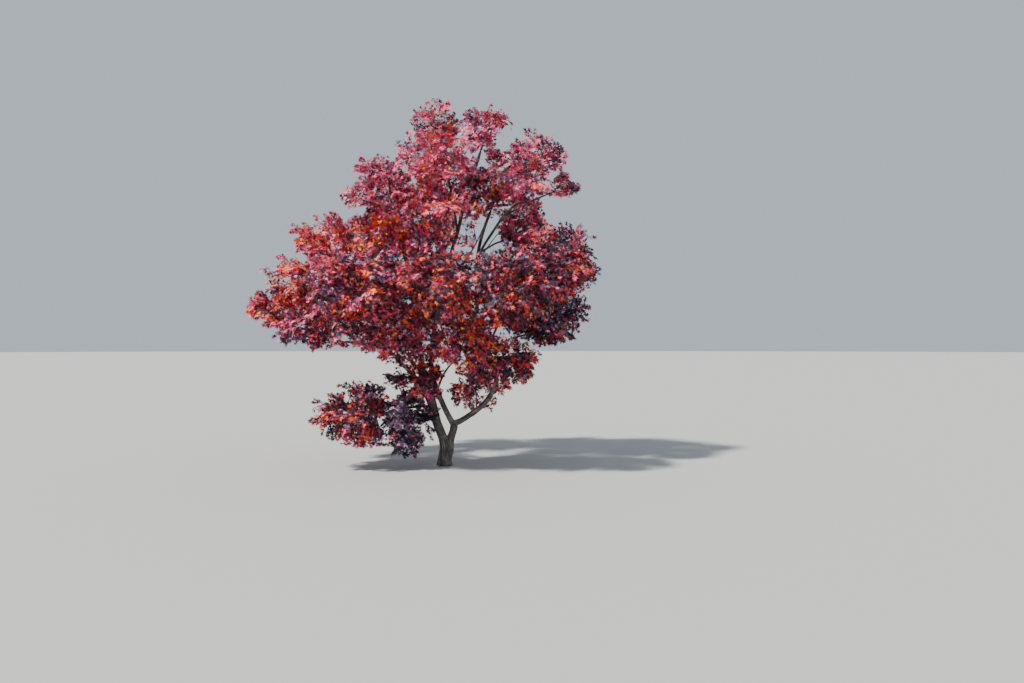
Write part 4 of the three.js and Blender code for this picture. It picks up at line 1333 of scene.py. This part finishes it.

# %% [markdown]
# The colour of the bark follows its grain. A vector that goes round each limb and along it is kept with
# the mesh, and a noise that is stretched along it draws pale streaks on grey-brown. The grey-brown is
# kept dark as painted shade, for the crown's shade on the limbs, and the palest streaks stand for sunlit
# edges, painted light, though they lie along the grain and not where the light falls. A second noise, on
# the object's own coordinates, lays larger pale patches over it, as weathered bark has, in a colour
# darkened by the same painted shade.

# %% Bark material
BARK_COLOUR = (0.25, 0.2, 0.17)
BARK_ROUGHNESS = 0.75
GRAIN_STRETCH = 0.16
STREAK_NOISE = (42, 6, 0.62)
# Grey-brown tones darkened as painted shade; the palest stands for sunlit edges, painted light.
STREAK_COLOURS_WITH_PAINTED_LIGHT = [
    (0.30, (0.024, 0.020, 0.018)),
    (0.47, (0.060, 0.052, 0.047)),
    (0.60, (0.125, 0.111, 0.100)),
    (0.74, (0.420, 0.385, 0.345)),
]
PATCH_NOISE = (9, 5, 0.55)
PATCH_SHARES = [(0.5, (0, 0, 0)), (0.66, (0.6, 0.6, 0.6))]
# Weathered patches, in a colour darkened as painted shade.
PATCH_COLOUR_WITH_PAINTED_SHADE = (0.25, 0.235, 0.215)
FURROW_NOISE = (160, 5, 0.6)
FURROW_STRENGTH = 0.45
FURROW_DEPTH = 0.002


def bark_material():
    """Grey-brown grain streaks in painted shade and light, pale patches over them, fine furrows as bump."""
    material = plain_material("maple_bark", BARK_COLOUR, BARK_ROUGHNESS)
    tree = material.node_tree
    nodes, links = tree.nodes, tree.links
    shader = nodes["Principled BSDF"]
    grain = nodes.new("ShaderNodeAttribute")
    grain.attribute_name = "grain"
    stretch = nodes.new("ShaderNodeMapping")
    stretch.inputs["Scale"].default_value = (1, 1, GRAIN_STRETCH)
    links.new(grain.outputs["Vector"], stretch.inputs["Vector"])
    along = stretch.outputs["Vector"]
    streaks_with_painted_light = ramp_of(tree, noise_of(tree, along, *STREAK_NOISE), STREAK_COLOURS_WITH_PAINTED_LIGHT)
    place_on = nodes.new("ShaderNodeTexCoord").outputs["Object"]
    patches = ramp_of(tree, noise_of(tree, place_on, *PATCH_NOISE), PATCH_SHARES)
    mix = nodes.new("ShaderNodeMix")
    mix.data_type = "RGBA"
    mix.inputs["B"].default_value = (*PATCH_COLOUR_WITH_PAINTED_SHADE, 1)
    links.new(patches, mix.inputs["Factor"])
    links.new(streaks_with_painted_light, mix.inputs["A"])
    links.new(mix.outputs["Result"], shader.inputs["Base Color"])
    bump = nodes.new("ShaderNodeBump")
    bump.inputs["Strength"].default_value = FURROW_STRENGTH
    bump.inputs["Distance"].default_value = FURROW_DEPTH
    links.new(noise_of(tree, along, *FURROW_NOISE), bump.inputs["Height"])
    links.new(bump.outputs["Normal"], shader.inputs["Normal"])
    return material


bark = bark_material()
print(len(bark.node_tree.nodes), "nodes in", bark.name)

# %% Trunk, stems and boughs
BARK_PIECES = {
    "trunk_and_stems": ["trunk", "right_stem", "centre_stem"],
    "left_boughs": ["left_leader", "left_bough", "left_shoulder_bough", "left_centre_bough", "far_left_bough",
                    "left_low_bough", "low_left_bough", "low_middle_bough", "left_front_bough",
                    "left_back_bough", "centre_back_bough"],
    "right_boughs": ["right_bough", "right_riser", "right_upper_bough", "right_twig_bough", "right_mid_bough",
                     "right_shoulder_bough", "right_low_bough", "right_front_bough", "right_back_bough"],
    "middle_boughs": ["leader", "left_fork", "upper_centre_bough", "mid_centre_bough", "centre_front_bough",
                      "low_front_bough", "upper_back_bough"],
    "bare_twigs": [row[0] for row in BARE_TWIGS],
}
for name, members in BARK_PIECES.items():
    corners, faces = joined([surfaces[member][:3] for member in members])
    piece = put_mesh(name, corners, faces, [bark], smooth=True)
    attribute = piece.data.attributes.new("grain", "FLOAT_VECTOR", "POINT")
    grain = np.concatenate([surfaces[member][3] for member in members]).astype(np.float32)
    attribute.data.foreach_set("vector", grain.ravel())
    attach(piece, "root")
    if name != "bare_twigs":
        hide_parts(*members)

# %% [markdown]
# ## Floor and light
# The tree stands on a plain pale floor in soft light. The real one is lit from high on its left and from
# behind. That would leave the near side dark on a bright floor, so here a sun lamp stands high on the
# left and in front. Its disc is broad, which softens the shadow, and a pale world fills what it can't
# reach. The floor is a wide disc, so that its far edge lies level in every view.

# %% Floor
FLOOR_RADIUS = 200.0
FLOOR_SIDES = 120
FLOOR_DROP = 0.001
FLOOR_COLOUR = (0.42, 0.42, 0.41)
FLOOR_ROUGHNESS = 0.9

floor_turn = 2 * math.pi * np.arange(FLOOR_SIDES) / FLOOR_SIDES
floor_rim = FLOOR_RADIUS * np.stack([np.cos(floor_turn), np.sin(floor_turn), 0 * floor_turn], -1)
floor_material = plain_material("floor", FLOOR_COLOUR, FLOOR_ROUGHNESS)
floor = put_mesh("floor", floor_rim - FLOOR_DROP * UP, [np.arange(FLOOR_SIDES)[None]], [floor_material])

# %% Light
WORLD_COLOUR = (0.78, 0.88, 1.0)
WORLD_STRENGTH = 0.66
KEY_COLOUR = (1.0, 0.97, 0.92)
KEY_STRENGTH = 7.4
KEY_SOFTNESS = 4
KEY_TURN = (42, 0, -52)

world = bpy.data.worlds.new("pale_world")
world.use_nodes = True
world.node_tree.nodes["Background"].inputs["Color"].default_value = (*WORLD_COLOUR, 1)
world.node_tree.nodes["Background"].inputs["Strength"].default_value = WORLD_STRENGTH
bpy.context.scene.world = world
key_data = bpy.data.lights.new("key", "SUN")
key_data.energy = KEY_STRENGTH
key_data.angle = math.radians(KEY_SOFTNESS)
key_data.color = KEY_COLOUR
key = bpy.data.objects.new("key", key_data)
key.rotation_euler = [math.radians(turn) for turn in KEY_TURN]
bpy.context.scene.collection.objects.link(key)
key_ray = -np.array(key.rotation_euler.to_matrix())[:, 2]
print("key light shines towards", [round(float(x), 2) for x in key_ray])

# %% [markdown]
# ## Size
# The dressed tree should fill the same box as the imported one, but for a few leaves and twigs at its rim.
# The imported tree's box is written down.

# %% The imported tree's size
print("packed", [round(x, 3) for x in (*cad_low, *cad_high)])
